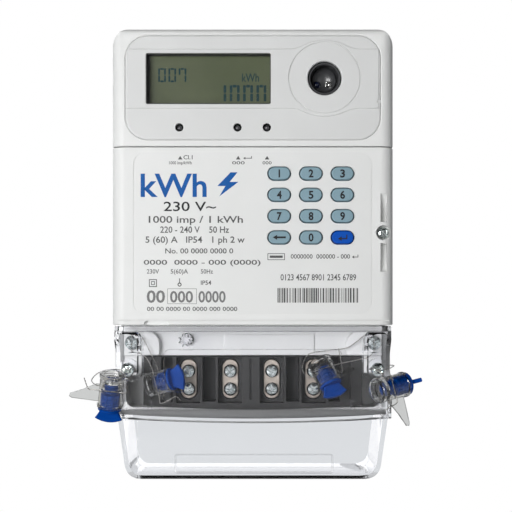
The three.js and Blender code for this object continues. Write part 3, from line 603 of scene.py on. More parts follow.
# ---- Case -----------------------------------------------------------------------------------


def case_body(inset, back, front, bottom, top, seams=(0, 0), back_seam=0.0):
    """The case's outer form shrunk by an inset: its front, plan and side views all bound it.
    seams are the chamfers at the bottom and the top of this stretch."""
    half = BASE.right - inset
    crown = BASE.top - inset
    corner = CASE_CORNER - inset
    edge = FRONT_EDGE - inset * 0.6
    edge_top = FRONT_EDGE_TOP - inset * 0.6
    view = round_rect(-half, half, bottom - 20, crown, (corner, corner, 0, 0))
    stations = [(-back_seam, back), (0, back + back_seam), (0, front + 1)]
    plan = round_rect(-half, half, back - 5, front, (edge, edge, 0, 0))
    low, high = seams
    heights = [(-low, bottom), (0, bottom + low), (0, top - high), (-high, top)]
    heights = [h for i, h in enumerate(heights) if not i or h[1] > heights[i - 1][1] + 0.01]
    side = round_rect(back - 5, front, bottom - 20, crown, (0, edge_top, 0, 0))
    return common(
        front_loft(view, stations if back_seam else stations[1:]),
        plan_loft(plan, heights),
        side_prism(side, -half - 1, half + 1),
    )


def make_base():
    base = BASE
    corners = (CASE_CORNER, CASE_CORNER, BASE_CORNER, BASE_CORNER)
    outline = round_rect(-base.right, base.right, base.bottom, base.top, corners)
    hollow = round_rect(-base.right + WALL, base.right - WALL, base.bottom + WALL, base.top - WALL, 4.0)
    seam = base.front - SEAM_CHAMFER
    rim = [(-1.0, 0), (-0.3, 0.3), (0, 1.0), (0, seam), (-SEAM_CHAMFER, base.front)]
    tray = cut(front_loft(outline, rim), plate(hollow, WALL, base.front + 1))
    posts = [(SIDE_POST.x, SIDE_POST.z)]
    posts += [(side * screw.x, screw.z) for screw in (CASE_SCREW, COVER_SCREW) for side in (-1, 1)]
    for x, z in posts:
        inner = x - math.copysign(0.6, x)
        tray = join(tray, rod(outwards(inner, z), 4.2, WALL - 0.5, base.front - 1))
        tray = cut(tray, rod(outwards(x, z), 2.2, 8, base.front + 1, 24))
    fixings = [circle(x, FIXING.z, FIXING.radius, 40) for x in (-FIXING.x, FIXING.x)]
    holes = [bite(keyhole_outline(), -1, WALL + 1)]
    holes += [bite(fixing, -1, WALL - FIXING.web) for fixing in fixings]
    pads = [round_rect(*recess, 3.0) for recess in BACK_RECESSES]
    recesses = [front_loft(pad, [(0.4, -1), (0.4, 0), (0, 0.6)]) for pad in pads]
    return cut(tray, *holes, *recesses)


def keyhole_outline():
    """A round hole that takes a screw's head, with a narrow slot above it."""
    turn = math.acos(KEYHOLE.half / KEYHOLE.radius)
    lower = arc(0, KEYHOLE.head, KEYHOLE.radius, math.pi - turn, 2 * math.pi + turn, 40)
    return lower + arc(0, KEYHOLE.slot, KEYHOLE.half, 0, math.pi, 20)


def make_upper_cover():
    front = UPPER.front
    body = case_body(0, UPPER.back, front, UPPER.bottom, UPPER.top + 1, (SEAM_CHAMFER, 0), SEAM_CHAMFER)
    hollow = case_body(WALL, 0, front - 4, UPPER.bottom - 5, UPPER.top)
    panel = round_rect(PANEL.left, PANEL.right, PANEL.bottom, PANEL.top, PANEL_CORNER)
    seat = [(0.03, PANEL.back - 0.05), (0.03, front - 0.5), (0.12, front - 0.45)]
    lip = [(0.22, front - 0.2), (0.55, front), (0.55, front + 2)]
    rim = 2.2
    opening = round_rect(
        PANEL.left + rim, PANEL.right - rim, PANEL.bottom + rim, PANEL.top - rim, PANEL_CORNER - rim
    )
    opening = plate(opening, front - 5, front)
    return cut(body, hollow, front_loft(panel, seat + lip), opening)


def make_lower_cover():
    front = LOWER.front
    top = UPPER.bottom - 0.4
    seams = (SEAM_CHAMFER, SEAM_CHAMFER)
    body = case_body(0, LOWER.back, front, COVER_LOW, top, seams, SEAM_CHAMFER)
    hollow = case_body(WALL, 0, front - WALL, COVER_LOW + WALL, top + 5)
    half, mouth_half = SHELF_HALF, BLOCK.right + 0.4
    shelf = box(-half, half, LOWER.back, SHELF_DEPTH, CHEEK_BOTTOM, COVER_LOW + WALL)
    under = box(-half + WALL, half - WALL, 0, SHELF_DEPTH - WALL, CHEEK_BOTTOM - 1, 80)
    shell = cut(join(body, shelf), hollow, under)
    for side in (-1, 1):
        inner, outer = sorted((44.3 * side, half * side))
        radii = (0, 6.0, 1.0, 0) if side < 0 else (6.0, 0, 0, 1.0)
        boss = round_rect(inner, outer, SHELF_BOTTOM, 70.2, radii)
        shell = join(shell, plate(boss, SHELF_DEPTH - 1, BOSS_DEPTH, 0.6))
    pad = round_rect(-13.8, 29.4, SHELF_BOTTOM, 68.6, (0.6, 1.0, 0, 0))
    edge = mouth_half - 0.5
    ledge = box(-edge, edge, SHELF_DEPTH - 1, SHELF_DEPTH + 0.35, SHELF_BOTTOM, 61.4)
    x, z = SIDE_SCREW.x, SIDE_SCREW.z
    backing = box(x - 3, x + 2.3, front - 7, front - 2, z - 19.5, z + 19.5)
    shell = join(shell, plate(pad, SHELF_DEPTH - 1, SHELF_DEPTH + 0.8, 0.3), ledge, backing)
    mouth = round_rect(-mouth_half, mouth_half, CHEEK_BOTTOM - 4, SHELF_BOTTOM, 0)
    return cut(shell, bite(mouth, 0, SHELF_DEPTH + 5), *cover_details())


def cover_details():
    """The cutters for everything let into the lower cover's faces."""
    x, z, front = SIDE_SCREW.x, SIDE_SCREW.z, LOWER.front
    details = [
        bite(circle(x, z, 3.4), front - 4, front, 0.3),
        rod(outwards(x, z), 1.7, 20, front),
        box(-70, 70, front - 1.4, front + 1, 75.25, 75.75),
        rod(outwards(PLUNGER.x, PLUNGER.z), PLUNGER.hole, 38, 50),
    ]
    floor = front - 5.0
    for sign in (1, -1):
        near, far = z + sign * 4.9, z + sign * 18.4
        rail = [(floor, near), (front + 1, near), (front + 1, far)]
        curve = bend((front + 1, far), (front - 4.4, far - sign), (floor, near), 12)[:-1]
        details.append(side_prism(rail + curve, x - 1.5, x + 1.5))
    scoop = round_rect(-50, -38.5, 70, 75.3, (1.5, 1.5, 0, 0))
    details.append(bite(scoop, front - 2.1, front, 0.3))
    details.append(plate(offset(label_outline(), 0.28), front - LABEL.sink, front + 1))
    for key in KEYS:
        place = span(key)
        opening = pill(place.x, place.z, KEY_OPENING.width, KEY_OPENING.height)
        details.append(bite(opening, front - 6, front - LABEL.sink))
    for side in (-1, 1):
        for screw in (CASE_SCREW, COVER_SCREW):
            details.append(rod(outwards(side * screw.x, screw.z), screw.hole, 20, 50))
        mark = round_rect(side * 51.3 - 0.45, side * 51.3 + 0.45, 63.2, 66.6, 0.4)
        details.append(plate(mark, BOSS_DEPTH - 0.8, BOSS_DEPTH + 1))
    return details


def label_outline():
    return round_rect(LABEL.left, LABEL.right, LABEL.bottom, LABEL.top, LABEL.corner)


def make_label():
    sheet = plate(label_outline(), LOWER.front - LABEL.sink + 0.01, LOWER.front, 0.06)
    openings = []
    for key in KEYS:
        place = span(key)
        opening = pill(place.x, place.z, KEY_OPENING.width + 0.1, KEY_OPENING.height + 0.1)
        openings.append(bite(opening, 60, LOWER.front, 0.05))
    return cut(sheet, *openings)


# ---- Display panel --------------------------------------------------------------------------


def band_edge(sign):
    """The line where the panel's middle band ends: straight, with a bulge round the port."""
    reach = abs((BAND.top if sign > 0 else BAND.bottom) - PORT.z)
    soft = BAND.softness
    steps = 90
    left, right = PANEL.left + PANEL_EDGE, PANEL.right - PANEL_EDGE
    settle = math.log(1 + math.exp(-reach / soft)) * soft
    points = []
    for i in range(steps + 1):
        x = left + (right - left) * i / steps
        arch = math.sqrt(max(BAND.bulge**2 - abs(x - PORT.x) ** 2, 0))
        high = math.log(math.exp(arch / soft) + math.exp(reach / soft)) * soft
        points.append((x, PORT.z + sign * (high - settle)))
    return points


def make_panel():
    low, front = PANEL.front - BAND_STEP, PANEL.front
    outline = round_rect(PANEL.left, PANEL.right, PANEL.bottom, PANEL.top, PANEL_CORNER, 20)
    body = plate(outline, PANEL.back, low, PANEL_EDGE)
    band = band_edge(-1) + list(reversed(band_edge(1)))
    raised = front_loft(band, [(0, PANEL.back + 0.5), (0, low - 0.05), (-0.28, front)])
    disc = [
        (DISC_RADIUS + wide, depth)
        for wide, depth in ((-0.25, low - 0.25), (0.25, low - 0.25), (0.45, front + 1), (-0.45, front + 1))
    ]
    window = round_rect(WINDOW.left, WINDOW.right, WINDOW.bottom, WINDOW.top, 0.8)
    nick = round_rect(57.2, 60.5, 175.6, 177.0, 0.5)
    lines = []
    for line in (band_edge(-1), band_edge(1)):
        strip = [(x, z - 0.13) for x, z in line] + [(x, z + 0.13) for x, z in reversed(line)]
        lines.append(front_loft(strip, [(-0.06, low - 0.2), (0.08, front + 0.5)]))
    return cut(
        join(body, raised),
        bite(window, 60, front, 0.25),
        bite(circle(PORT.x, PORT.z, PORT_HOLE), 60, front, 0.6),
        turned(disc, outwards(PORT.x, PORT.z), 96),
        plate(nick, low - 0.6, front + 1),
        *[bite(circle(x, LED_Z, LED_HOLE, 40), 60, low, 0.25) for x in LED_X],
        *lines,
    )


def make_bezel_and_wall_shade():
    """The black mask that hides the display's edge, and a black liner on the window's walls that is painted
    shade: it darkens the walls as the recess's shade would.
    """
    w = WINDOW
    outer = round_rect(w.left + 0.04, w.right - 0.04, w.bottom + 0.04, w.top - 0.04, 0.75)
    inner = round_rect(w.left + 0.4, w.right - 0.4, w.bottom + 0.4, w.top - 0.4, 0.4)
    # The liner blackens the window's walls: painted shade in the recess, not a real part.
    shade_liner = cut(plate(outer, 63.65, PANEL.front - 0.35, 0.1), plate(inner, *THROUGH))
    mask_outer = round_rect(w.left - 2.5, w.right + 2.5, w.bottom - 2.5, w.top + 2.5, 1.0)
    mask_inner = round_rect(w.left + 1.5, w.right + 0.6, w.bottom - 0.4, w.top - 0.5, 0.4)
    mask = cut(plate(mask_outer, LCD.front + 0.3, 61.9), plate(mask_inner, *THROUGH))
    return gather([shade_liner, mask])


SEGMENTS = {"0": "abcdef", "1": "bc", "7": "abcf"}


def digit(figure, left, bottom, width, height, stroke, faded=""):
    """One seven-segment figure as separate bars, without the faded ones."""
    middle = height / 2
    gap = 0.16
    across = {"a": height - stroke / 2, "d": stroke / 2}
    upright_bars = {"f": (0, middle), "b": (width - stroke, middle), "e": (0, 0), "c": (width - stroke, 0)}
    bars = []
    for name in SEGMENTS[figure]:
        if name in faded:
            continue
        if name in across:
            z = bottom + across[name]
            start, stop = left + stroke + gap, left + width - stroke - gap
            outline = round_rect(start, stop, z - stroke / 2, z + stroke / 2, stroke * 0.3, 4)
        else:
            x, z = upright_bars[name]
            start, stop = bottom + z + gap, bottom + z + middle - gap
            outline = round_rect(left + x, left + x + stroke, start, stop, stroke * 0.3, 4)
        bars.append(plate(outline, LCD.front - 0.02, LCD.front + 0.03))
    return bars


def make_segments():
    bars = []
    for i, figure in enumerate("007"):
        bars += digit(figure, -43.9 + 4.75 * i, 186.0, 3.6, 6.6, 0.85)
    for i, figure in enumerate("1000"):
        bars += digit(figure, -16.9 + 6.2 * i, 177.0, 4.6, 7.8, 1.25, "d")
    bars.append(lettering("kWh", -5.0, 2.9, 186.3, 3.8, LCD.front - 0.01, 0.012))
    return gather(bars)


def make_port_sleeve():
    profile = [
        (5.6, 53), (7.5, 53), (7.5, 64.5), (7.2, 64.8), (6.75, 64.8), (6.45, 64.4),
        (6.3, 61), (6.2, 59.2), (5.9, 58.4), (5.6, 58.2),
    ]
    return turned(profile, outwards(PORT.x, PORT.z), 64)


def make_diodes():
    carrier = rod(outwards(PORT.x, PORT.z), 5.5, 52.2, 56.4)
    dish = [(0.95 * 5.8 * math.sin(a), 60.2 - 3.6 * math.cos(a)) for a in quarter_steps(12)]
    bowl = turned([(0, 56.2), (5.6, 56.2), *reversed(dish[:-1])], outwards(PORT.x, PORT.z))
    return join(carrier, bowl)


def lens(x, z, radius, base, shoulder):
    """A bullet lens: a flange, a straight wall and a round nose."""
    dome = [(radius * math.cos(a), shoulder + radius * math.sin(a)) for a in quarter_steps(8)]
    profile = [(0, base), (radius * 1.25, base), (radius * 1.25, base + 0.4), (radius, base + 0.4)]
    return turned(profile + dome[:-1] + [(0, shoulder + radius)], outwards(x, z), 32)


# ---- Lettering ------------------------------------------------------------------------------


def lettering(text, left, right, bottom, height, depth=None, weight=0.0):
    """Text from the built-in font, fitted between left and right at a capital height."""
    depth = LOWER.front - INK / 2 if depth is None else depth
    curve = bpy.data.curves.new("lettering", "FONT")
    curve.body = text
    curve.offset = weight
    curve.resolution_u = 3
    curve.extrude = 0.5
    holder = bpy.data.objects.new("lettering", curve)
    bpy.context.scene.collection.objects.link(holder)
    depsgraph = bpy.context.evaluated_depsgraph_get()
    mesh = bpy.data.meshes.new_from_object(holder.evaluated_get(depsgraph))
    bpy.data.objects.remove(holder)
    bpy.data.curves.remove(curve)
    xs = [v.co.x for v in mesh.vertices]
    wide = (right - left) / (max(xs) - min(xs))
    tall = height / FONT_CAPITAL
    for vertex in mesh.vertices:
        x = left + (vertex.co.x - min(xs)) * wide
        z = bottom + vertex.co.y * tall
        vertex.co = CASE_SPACE @ Vector((x, depth + INK * (vertex.co.z + 0.5), z))
    return sealed(mesh)


def flat(outline, depth=None):
    depth = LOWER.front - INK / 2 if depth is None else depth
    return plate(outline, depth, depth + INK)


def framed(left, right, bottom, top, line):
    """A thin rectangular frame in ink."""
    outer = round_rect(left, right, bottom, top, 0.1, 2)
    inner = round_rect(left + line, right - line, bottom + line, top - line, 0.05, 2)
    return cut(flat(outer), plate(inner, *THROUGH))


def triangle(x, z, size):
    return flat([(x - size / 2, z), (x + size / 2, z), (x, z + size * 0.8)])


def bar_code(left, right, bottom, top):
    """Bars of seeded widths that stand for no number."""
    rng = random.Random(7)
    bars = []
    x = left
    while x < right - 0.8:
        width = rng.choice((0.26, 0.26, 0.5, 0.5, 0.78))
        bars.append(flat([(x, bottom), (x + width, bottom), (x + width, top), (x, top)]))
        x += width + rng.choice((0.26, 0.26, 0.42, 0.6))
    return bars


def ring_mark(x, z, outer, inner):
    return cut(flat(circle(x, z, outer, 32)), plate(circle(x, z, inner, 32), *THROUGH))


def make_black_print():
    return gather([lettering("230 V~", -41.0, -16.9, 125.9, 4.3, weight=0.01)])


def make_blue_print():
    bolt = [(-10.2, 143.7), (-16.3, 137.4), (-12.6, 137.4), (-15.4, 132.6), (-6.6, 139.3),
            (-10.6, 139.3), (-7.0, 143.7)]
    return gather([lettering("kWh", -51.6, -21.2, 132.6, 10.5, weight=0.018), flat(bolt)])


def arrow(x0, x1, z, size, depth=None):
    """A bent arrow that points left, its tail turned up at the right."""
    hook = [(x0 + size, z - size * 0.16), (x1, z - size * 0.16), (x1, z + size), (x1 - size * 0.32, z + size),
            (x1 - size * 0.32, z + size * 0.16), (x0 + size, z + size * 0.16)]
    head = [(x0 + size, z + size * 0.62), (x0, z), (x0 + size, z - size * 0.62)]
    return [flat(hook, depth), flat(head, depth)]


def make_grey_print():
    rows = [
        ("1000 imp / 1 kWh", -47.9, -4.5, 120.5, 3.1),
        ("220 - 240 V    50 Hz", -42.6, -10.9, 115.9, 2.9),
        ("5 (60) A   IP54   1 ph 2 w", -49.4, -3.7, 111.3, 2.9),
        ("No. 00 0000 0000 0", -40.3, -9.0, 106.4, 2.3),
        ("0000  0000 - 000 (0000)", -50.2, 3.6, 101.2, 2.2),
        ("230V", -48.8, -43.1, 97.1, 2.0),
        ("5(60)A", -37.8, -29.8, 97.1, 2.0),
        ("50Hz", -23.9, -18.3, 97.1, 2.0),
        ("IP54", -23.9, -19.1, 91.9, 2.0),
        ("00 00 0000 00 0000 000 0000", -48.7, -7.1, 79.9, 1.9),
        ("1000 imp/kWh", -38.5, -28.1, 147.4, 1.4),
        ("000", -9.5, -3.7, 147.4, 1.4),
        ("000", 4.5, 8.7, 147.4, 1.4),
        ("Cl.1", -31.9, -27.7, 149.7, 1.9),
        ("0000000  000000 - 000", 17.5, 44.8, 104.0, 2.0),
        ("0123 4567 8901 2345 6789", 12.8, 47.6, 94.0, 2.8),
    ]
    parts = [lettering(text, x0, x1, z, height, weight=0.014) for text, x0, x1, z, height in rows]
    parts += [triangle(x, 149.6, 2.1) for x in (-33.4, -6.7, 6.6)]
    parts += arrow(-4.4, -0.4, 150.2, 1.0)
    parts += arrow(45.6, 48.6, 104.7, 1.1)
    parts += bar_code(11.4, 49.3, 83.7, 90.4)
    parts += [framed(-47.8, -44.1, 90.9, 94.5, 0.4), framed(-46.8, -45.1, 91.8, 93.6, 0.35)]
    parts += [ring_mark(-33.7, 92.0, 0.95, 0.45), flat(round_rect(-33.9, -33.5, 92.9, 94.9, 0))]
    parts += [framed(6.8, 14.8, 103.3, 106.4, 0.3), flat(round_rect(7.8, 13.8, 104.3, 105.4, 0))]
    return gather(parts)


def make_pale_print():
    return gather([
        lettering("00", -48.8, -40.4, 83.8, 5.5, weight=0.02),
        framed(-39.3, -25.8, 83.1, 90.2, 0.2),
        lettering("000", -38.1, -27.5, 83.9, 5.1, weight=0.02),
        lettering("0000", -25.0, -12.5, 83.9, 5.1, weight=0.02),
    ])


# ---- Keys -----------------------------------------------------------------------------------


def make_key(key):
    place = span(key)
    cap = plate(pill(place.x, place.z, KEY_CAP.width, KEY_CAP.height), place.back, place.front, KEY_CAP.edge)
    flange = plate(pill(place.x, place.z, 12.2, 7.9), 61.6, KEY_FLANGE_FRONT)
    return join(cap, flange)


def key_mark(key):
    place = span(key)
    depth = place.front - INK / 2
    x, z = place.x, place.z
    if key == "key_back":
        shaft = [(x - 1.2, z - 0.42), (x + 3.0, z - 0.42), (x + 3.0, z + 0.42), (x - 1.2, z + 0.42)]
        head = [(x - 1.0, z + 1.15), (x - 3.0, z), (x - 1.0, z - 1.15)]
        return gather([flat(shaft, depth), flat(head, depth)])
    if key == "key_enter":
        return gather(arrow(x - 2.2, x + 2.2, z - 0.6, 1.8, depth))
    figure = key[-1]
    half = 0.34 if figure == "1" else 1.12
    return lettering(figure, x - half, x + half, z - NUMERAL_HEIGHT / 2, NUMERAL_HEIGHT, depth, 0.03)


# ---- Terminals and screws -------------------------------------------------------------------


def make_block():
    half = BLOCK.right
    sag = bend((-half, 34.6), (0, 30.6), (half, 34.6), 24)
    outline = [(-half, 34.6)] + sag + [(half, SHELF_BOTTOM - 0.5), (-half, SHELF_BOTTOM - 0.5)]
    body = plate(outline, BLOCK.back, BLOCK.front, 0.4)
    body = join(body, box(-50.8, 50.8, BLOCK.back, 37, SHELF_BOTTOM - 1, BLOCK.top))
    cell = BLOCK_CELL
    for name in TERMINALS:
        place = span(f"terminal_{name}")
        x = place.x
        room = round_rect(x - cell.left, x + cell.right, cell.bottom, cell.top, 0.3, 3)
        pocket = pill(x, place.z, 8 + 2 * GAP, 19.2 + 2 * GAP)
        body = cut(
            body,
            bite(room, cell.back, BLOCK.front, 0.35),
            plate(pocket, place.back - GAP, 37),
            rod(upright(x, 28), 4.0, 28, 40),
        )
    for x0, x1 in BLOCK_SLOTS:
        slot = round_rect(x0, x1, cell.bottom + 0.7, cell.top, 0.2, 2)
        body = cut(body, bite(slot, 30, BLOCK.front, 0.3))
    for x in (-48.2, -0.9, 46.3):
        fin = round_rect(x - 0.5, x + 0.5, 37.6, 56.6, 0.4, 3)
        body = cut(body, bite(fin, BLOCK.front - 1.2, BLOCK.front, 0.2))
    return body


def make_terminal(name):
    place = span(f"terminal_{name}")
    outline = pill(place.x, place.z, place.right - place.left, place.top - place.bottom)
    body = plate(outline, place.back, place.front, 0.5)
    body = cut(body, rod(upright(place.x, 28), 3.3, 30, 53))
    for row in ("upper", "lower"):
        screw = span(f"screw_{name}_{row}")
        hole = circle(screw.x, screw.z, 2.1, 32)
        body = cut(body, bite(hole, 28, place.front))
    return body


def cross(reach, half, turn):
    """A plus sign, its arms this long and this wide either side of the middle, turned by an angle."""
    arm = [(half, -half), (half, -reach), (-half, -reach)]
    points = []
    for quarter in range(4):
        angle = turn - quarter * QUARTER
        points += [
            (u * math.cos(angle) - v * math.sin(angle), u * math.sin(angle) + v * math.cos(angle))
            for u, v in arm
        ]
    return points


def make_screw(node, head_height, shank_radius, wire_hole=None, turn=0.3):
    """A pan head with a cross recess on a threaded shank."""
    place = span(node)
    radius = (place.right - place.left) / 2
    seat, rise = place.front - head_height, head_height * 0.5
    space = outwards(place.x, place.z)
    head = [(0, seat), (radius - 0.15, seat), (radius, seat + 0.2), (radius, seat + rise)]
    dome = [(radius * math.cos(a * 0.82), seat + rise + rise * math.sin(a)) for a in quarter_steps(8)]
    crown = [p for p in dome[1:] if p[0] > 0.1]
    body = turned(head + crown + [(0, place.front)], space, 40)
    body = join(body, turned(thread(shank_radius, place.back, seat + 0.3), space, 24))
    recess = [(place.x + u, place.z + v) for u, v in cross(radius * 0.72, radius * 0.17, turn)]
    floor = place.front - head_height * 0.8
    arms = front_loft(recess, [(-radius * 0.07, floor), (0.02, place.front), (0.3, place.front + 1)])
    point = [(0, floor - 0.3), (radius * 0.12, floor), (radius * 0.3, place.front), (0, place.front + 1)]
    body = cut(body, arms, turned(point, space, 24))
    return cut(body, wire_hole) if wire_hole else body


def thread(radius, tip, top, pitch=0.8):
    """A shank's profile with a ridge at every pitch."""
    profile = [(0, tip), (radius * 0.6, tip)]
    h = tip + 0.6
    while h < top - pitch:
        profile += [(radius * 0.8, h), (radius, h + pitch / 2)]
        h += pitch
    return profile + [(radius * 0.8, h), (radius * 0.8, top), (0, top)]


# ---- Clear terminal cover -------------------------------------------------------------------


def clear_plan(inset, back):
    rear, front, depth = 64.6 - inset, 64.3 - inset, CLEAR_FRONT - inset
    inner = front - 4 + inset * 0.6
    side = depth - front + inner
    left = bend((-front, side), (-front, depth), (-inner, depth))
    right = bend((inner, depth), (front, depth), (front, side))
    return [(-rear, back), (-front, side), *left, (inner, depth), *right, (rear, back)]


def sagging(inset, low, high):
    """A band seen from the front whose lower edge sags in the middle."""
    edge = low + 2.2 + inset
    sag = bend((-62, edge), (0, low - 2 + inset), (62, edge), 32)
    return [(-70, edge), (-62, edge), *sag, (70, edge), (70, high - inset), (-70, high - inset)]


def skirt_body(inset, back, top, step=0.0):
    depth, corner = SKIRT_DEPTH - inset - step, 8 - inset
    side, low = 64 - inset, 60.8 - inset
    heel, toe = 9.5, low - 9.5 + inset
    left = bend((-low, heel), (-low + 0.6, inset), (-toe, inset), 16)
    right = bend((toe, inset), (low - 0.6, inset), (low, heel), 16)
    outline = [(-side, top), (-low, heel), *left, (toe, inset), *right, (side, top)]
    plan = round_rect(-66, 66, back, depth, (corner, corner, 0, 0))
    profile = round_rect(back, depth, inset, top, (0, 0, 5.0, 0))
    return common(
        plate(outline, back, depth + 1),
        plan_loft(plan, [(0, -1), (0, top)]),
        side_prism(profile, -70, 70),
    )


def screw_well(side, wall):
    low, back, mouth = WELL.bottom - wall * 0.2, WELL.floor - wall, CLEAR_FRONT + 3
    slope = [(mouth, 72 + wall), (back, 60 + wall * 0.6), (back, low), (mouth, low)]
    inner, outer = sorted((side * (WELL.inner - wall), side * 70))
    radii = (0, 4.6, 4.6, 0) if side < 0 else (4.6, 0, 0, 4.6)
    arch = round_rect(inner, outer, low, WELL.top + wall, radii)
    return common(side_prism(slope, -72, 72), plate(arch, 20, 72))


def bead(outline, width, back, front):
    """A low ridge that follows an outline."""
    shoulder = front - 0.12
    ridge = [(0, back), (0, shoulder), (-0.12, front)]
    hollow = [(0, back - 1), (0, shoulder), (0.12, front), (0.12, front + 1)]
    return cut(front_loft(offset(outline, width / 2), ridge), front_loft(offset(outline, -width / 2), hollow))


def front_box(inset, bottom, top, edge):
    rim = [(0, bottom), (0, top - edge), (-edge * 0.3, top - edge * 0.3), (-edge, top)]
    back, spare = (0, CLEAR_WALL) if inset else (COVER_BACK, 1)
    band = plate(sagging(inset, LIP_BOTTOM, top + spare), 0, CLEAR_FRONT + 1)
    return common(plan_loft(clear_plan(inset, back), rim), band)


def make_terminal_cover():
    top = COVER.top
    outer = join(front_box(0, 20, top, 0.8), skirt_body(0, COVER.back, SKIRT_TOP, 0.35))
    side = HOOD.half + HOOD.corner
    hood = [(-side, SKIRT_TOP), *arc(-HOOD.half, HOOD.low, HOOD.corner, math.pi, 1.5 * math.pi)]
    hood += arc(HOOD.half, HOOD.low, HOOD.corner, 1.5 * math.pi, 2 * math.pi) + [(side, SKIRT_TOP)]
    outer = join(outer, plate(hood, SKIRT_DEPTH - 1.5, SKIRT_DEPTH, 0.3))
    room = copied(outer)
    shell = cut(outer, front_box(CLEAR_WALL, 20, top - 2.4, 0.6), skirt_body(CLEAR_WALL, -4, 36))
    for x in (-47.7, 46.4):
        shell = join(shell, box(x - 0.8, x + 0.8, 59, CLEAR_FRONT - 1, 31, 38))
    star = [(3.4 if i % 2 else 2.0, i * math.pi / 8) for i in range(16)]
    star = [(PLUNGER.x + r * math.cos(a), PLUNGER.z + r * math.sin(a)) for r, a in star]
    shell = join(shell, front_loft(star, [(-0.8, 46.4), (0, 47.2), (0, CLEAR_FRONT - 1)]))
    for side in (-1, 1):
        post = rod(outwards(side * COVER_SCREW.x, COVER_SCREW.z), 4.8, SHELF_DEPTH + 0.5, WELL.floor - 1)
        shell = join(shell, common(screw_well(side, CLEAR_WALL), copied(room)), post)
    discard(room)
    window = round_rect(-40.9, 40.9, 42.7, 62.0, 2.8)
    shell = join(shell, bead(window, 0.5, CLEAR_FRONT - 0.3, CLEAR_FRONT + 0.22))
    for side in (-1, 1):
        hole = rod(outwards(side * COVER_SCREW.x, COVER_SCREW.z), COVER_SCREW.hole, 40, 60)
        shell = cut(shell, screw_well(side, 0), hole)
    score = round_rect(KNOCK_OUT.left, KNOCK_OUT.right, KNOCK_OUT.bottom, KNOCK_OUT.top, 1.0)
    half = SHELF_HALF + GAP
    shelf_room = box(-half, half, 20, SHELF_DEPTH + GAP, SHELF_BOTTOM - 1, top + 1)
    return cut(shell, bead(score, 0.7, 48.6, 50.6), shelf_room)


def make_lip():
    """The frosted strip that closes the terminal cover along its lower edge."""
    return common(
        plate(sagging(CLEAR_WALL, LIP_BOTTOM, 36), 58.6, CLEAR_FRONT - CLEAR_WALL - 0.05),
        plan_loft(clear_plan(CLEAR_WALL + 0.05, COVER_BACK), [(0, 20), (0, 34.6)]),
    )


# ---- Twist seals ----------------------------------------------------------------------------


def far_side(node, end, up):
    """The direction, square to the axis, in which a node reaches furthest from it."""
    points = [v.co - end for v in frame["nodes"][node].data.vertices]
    flat_points = [p - up * p.dot(up) for p in points]
    reach = max(p.length for p in flat_points)
    far = [p for p in flat_points if p.length > reach - 0.05 * MM]
    same = [p for p in far if p.dot(far[0]) > 0]
    return sum(same, Vector()).normalized(), reach / MM


def seal_space(place, node):
    """A seal's space, in millimetres: its third axis runs from the flag end to the rim, at 0."""
    joint = next(j for j in frame["joints"] if j["name"] == f"seal_{place}_twist")
    end, up = Vector(joint["pos_m"]), Vector(joint["axis"]).normalized()
    barrel = frame["nodes"][f"seal_{place}_barrel"]
    length = max((v.co - end).dot(up) for v in barrel.data.vertices)
    side, reach = far_side(f"seal_{place}_{node}", end, up)
    across = up.cross(side)
    rim = end + up * length
    rows = [[side[i] * MM, across[i] * MM, up[i] * MM, rim[i]] for i in range(3)]
    return Matrix((*rows, (0, 0, 0, 1))), length / MM, reach


def slab(outline, half, edge, space):
    """An (x, z) outline in a seal's space as a flat piece with both edges rounded."""
    stations = [(-edge, -half), (0, -half + edge), (0, half - edge), (-edge, half)]
    return loft([[(u, y, v) for u, v in offset(outline, out)] for out, y in stations], space)


def rings_of(body, profile, half, count, start, space):
    """The body with flat ribs or teeth round its axis."""
    for i in range(count):
        turn = space @ Matrix.Rotation(start + 2 * math.pi * i / count, 4, "Z")
        body = join(body, slab(profile, half, 0.05, turn))
    return body


def make_barrel(place):
    space, length, reach = seal_space(place, "barrel")
    outer, inner = SEAL.outer, SEAL.inner
    cup = [
        (0, -4), (inner, -4), (inner, -length), (outer - 0.25, -length), (outer, -length + 0.25),
        (outer, -length + 1.3), (outer - 0.35, -length + 1.6), (outer - 0.35, -1.9),
        (outer, -1.6), (outer, -0.3), (outer - 0.3, 0), (inner - 0.1, 0), (inner - 0.3, -0.2),
        (inner - 0.3, -2.4), (0, -2.4),
    ]
    low = -length + 0.6
    rib = [(outer - 0.6, low), (outer - 0.05, low), (outer - 0.05, -1.2), (outer - 0.6, -1.2)]
    body = rings_of(turned(cup, space, 56), rib, 0.35, 6, math.pi / 6, space)
    tip = reach - 0.6
    low, high = -length * 0.86, -length * 0.34
    tag = [
        (outer - 0.6, low), (outer + 1, low), (tip - 0.8, low + 0.3), (tip + 0.5, low + 1.0),
        (tip + 0.2, low + 2.4), (tip * 0.55 + outer * 0.45, (low + high) / 2 + 0.8),
        (outer + 1.2, high - 0.2), (outer - 0.6, high),
    ]
    body = join(body, slab(tag, 0.45, 0.12, space))
    for y in (-SEAL.chord, SEAL.chord):
        row = Matrix(((0, 0, 1, 0), (1, 0, 0, y), (0, 1, 0, -length * SEAL.hole), (0, 0, 0, 1)))
        body = cut(body, rod(space @ row, 0.7, -7.5, 7.5, 20))
    return body


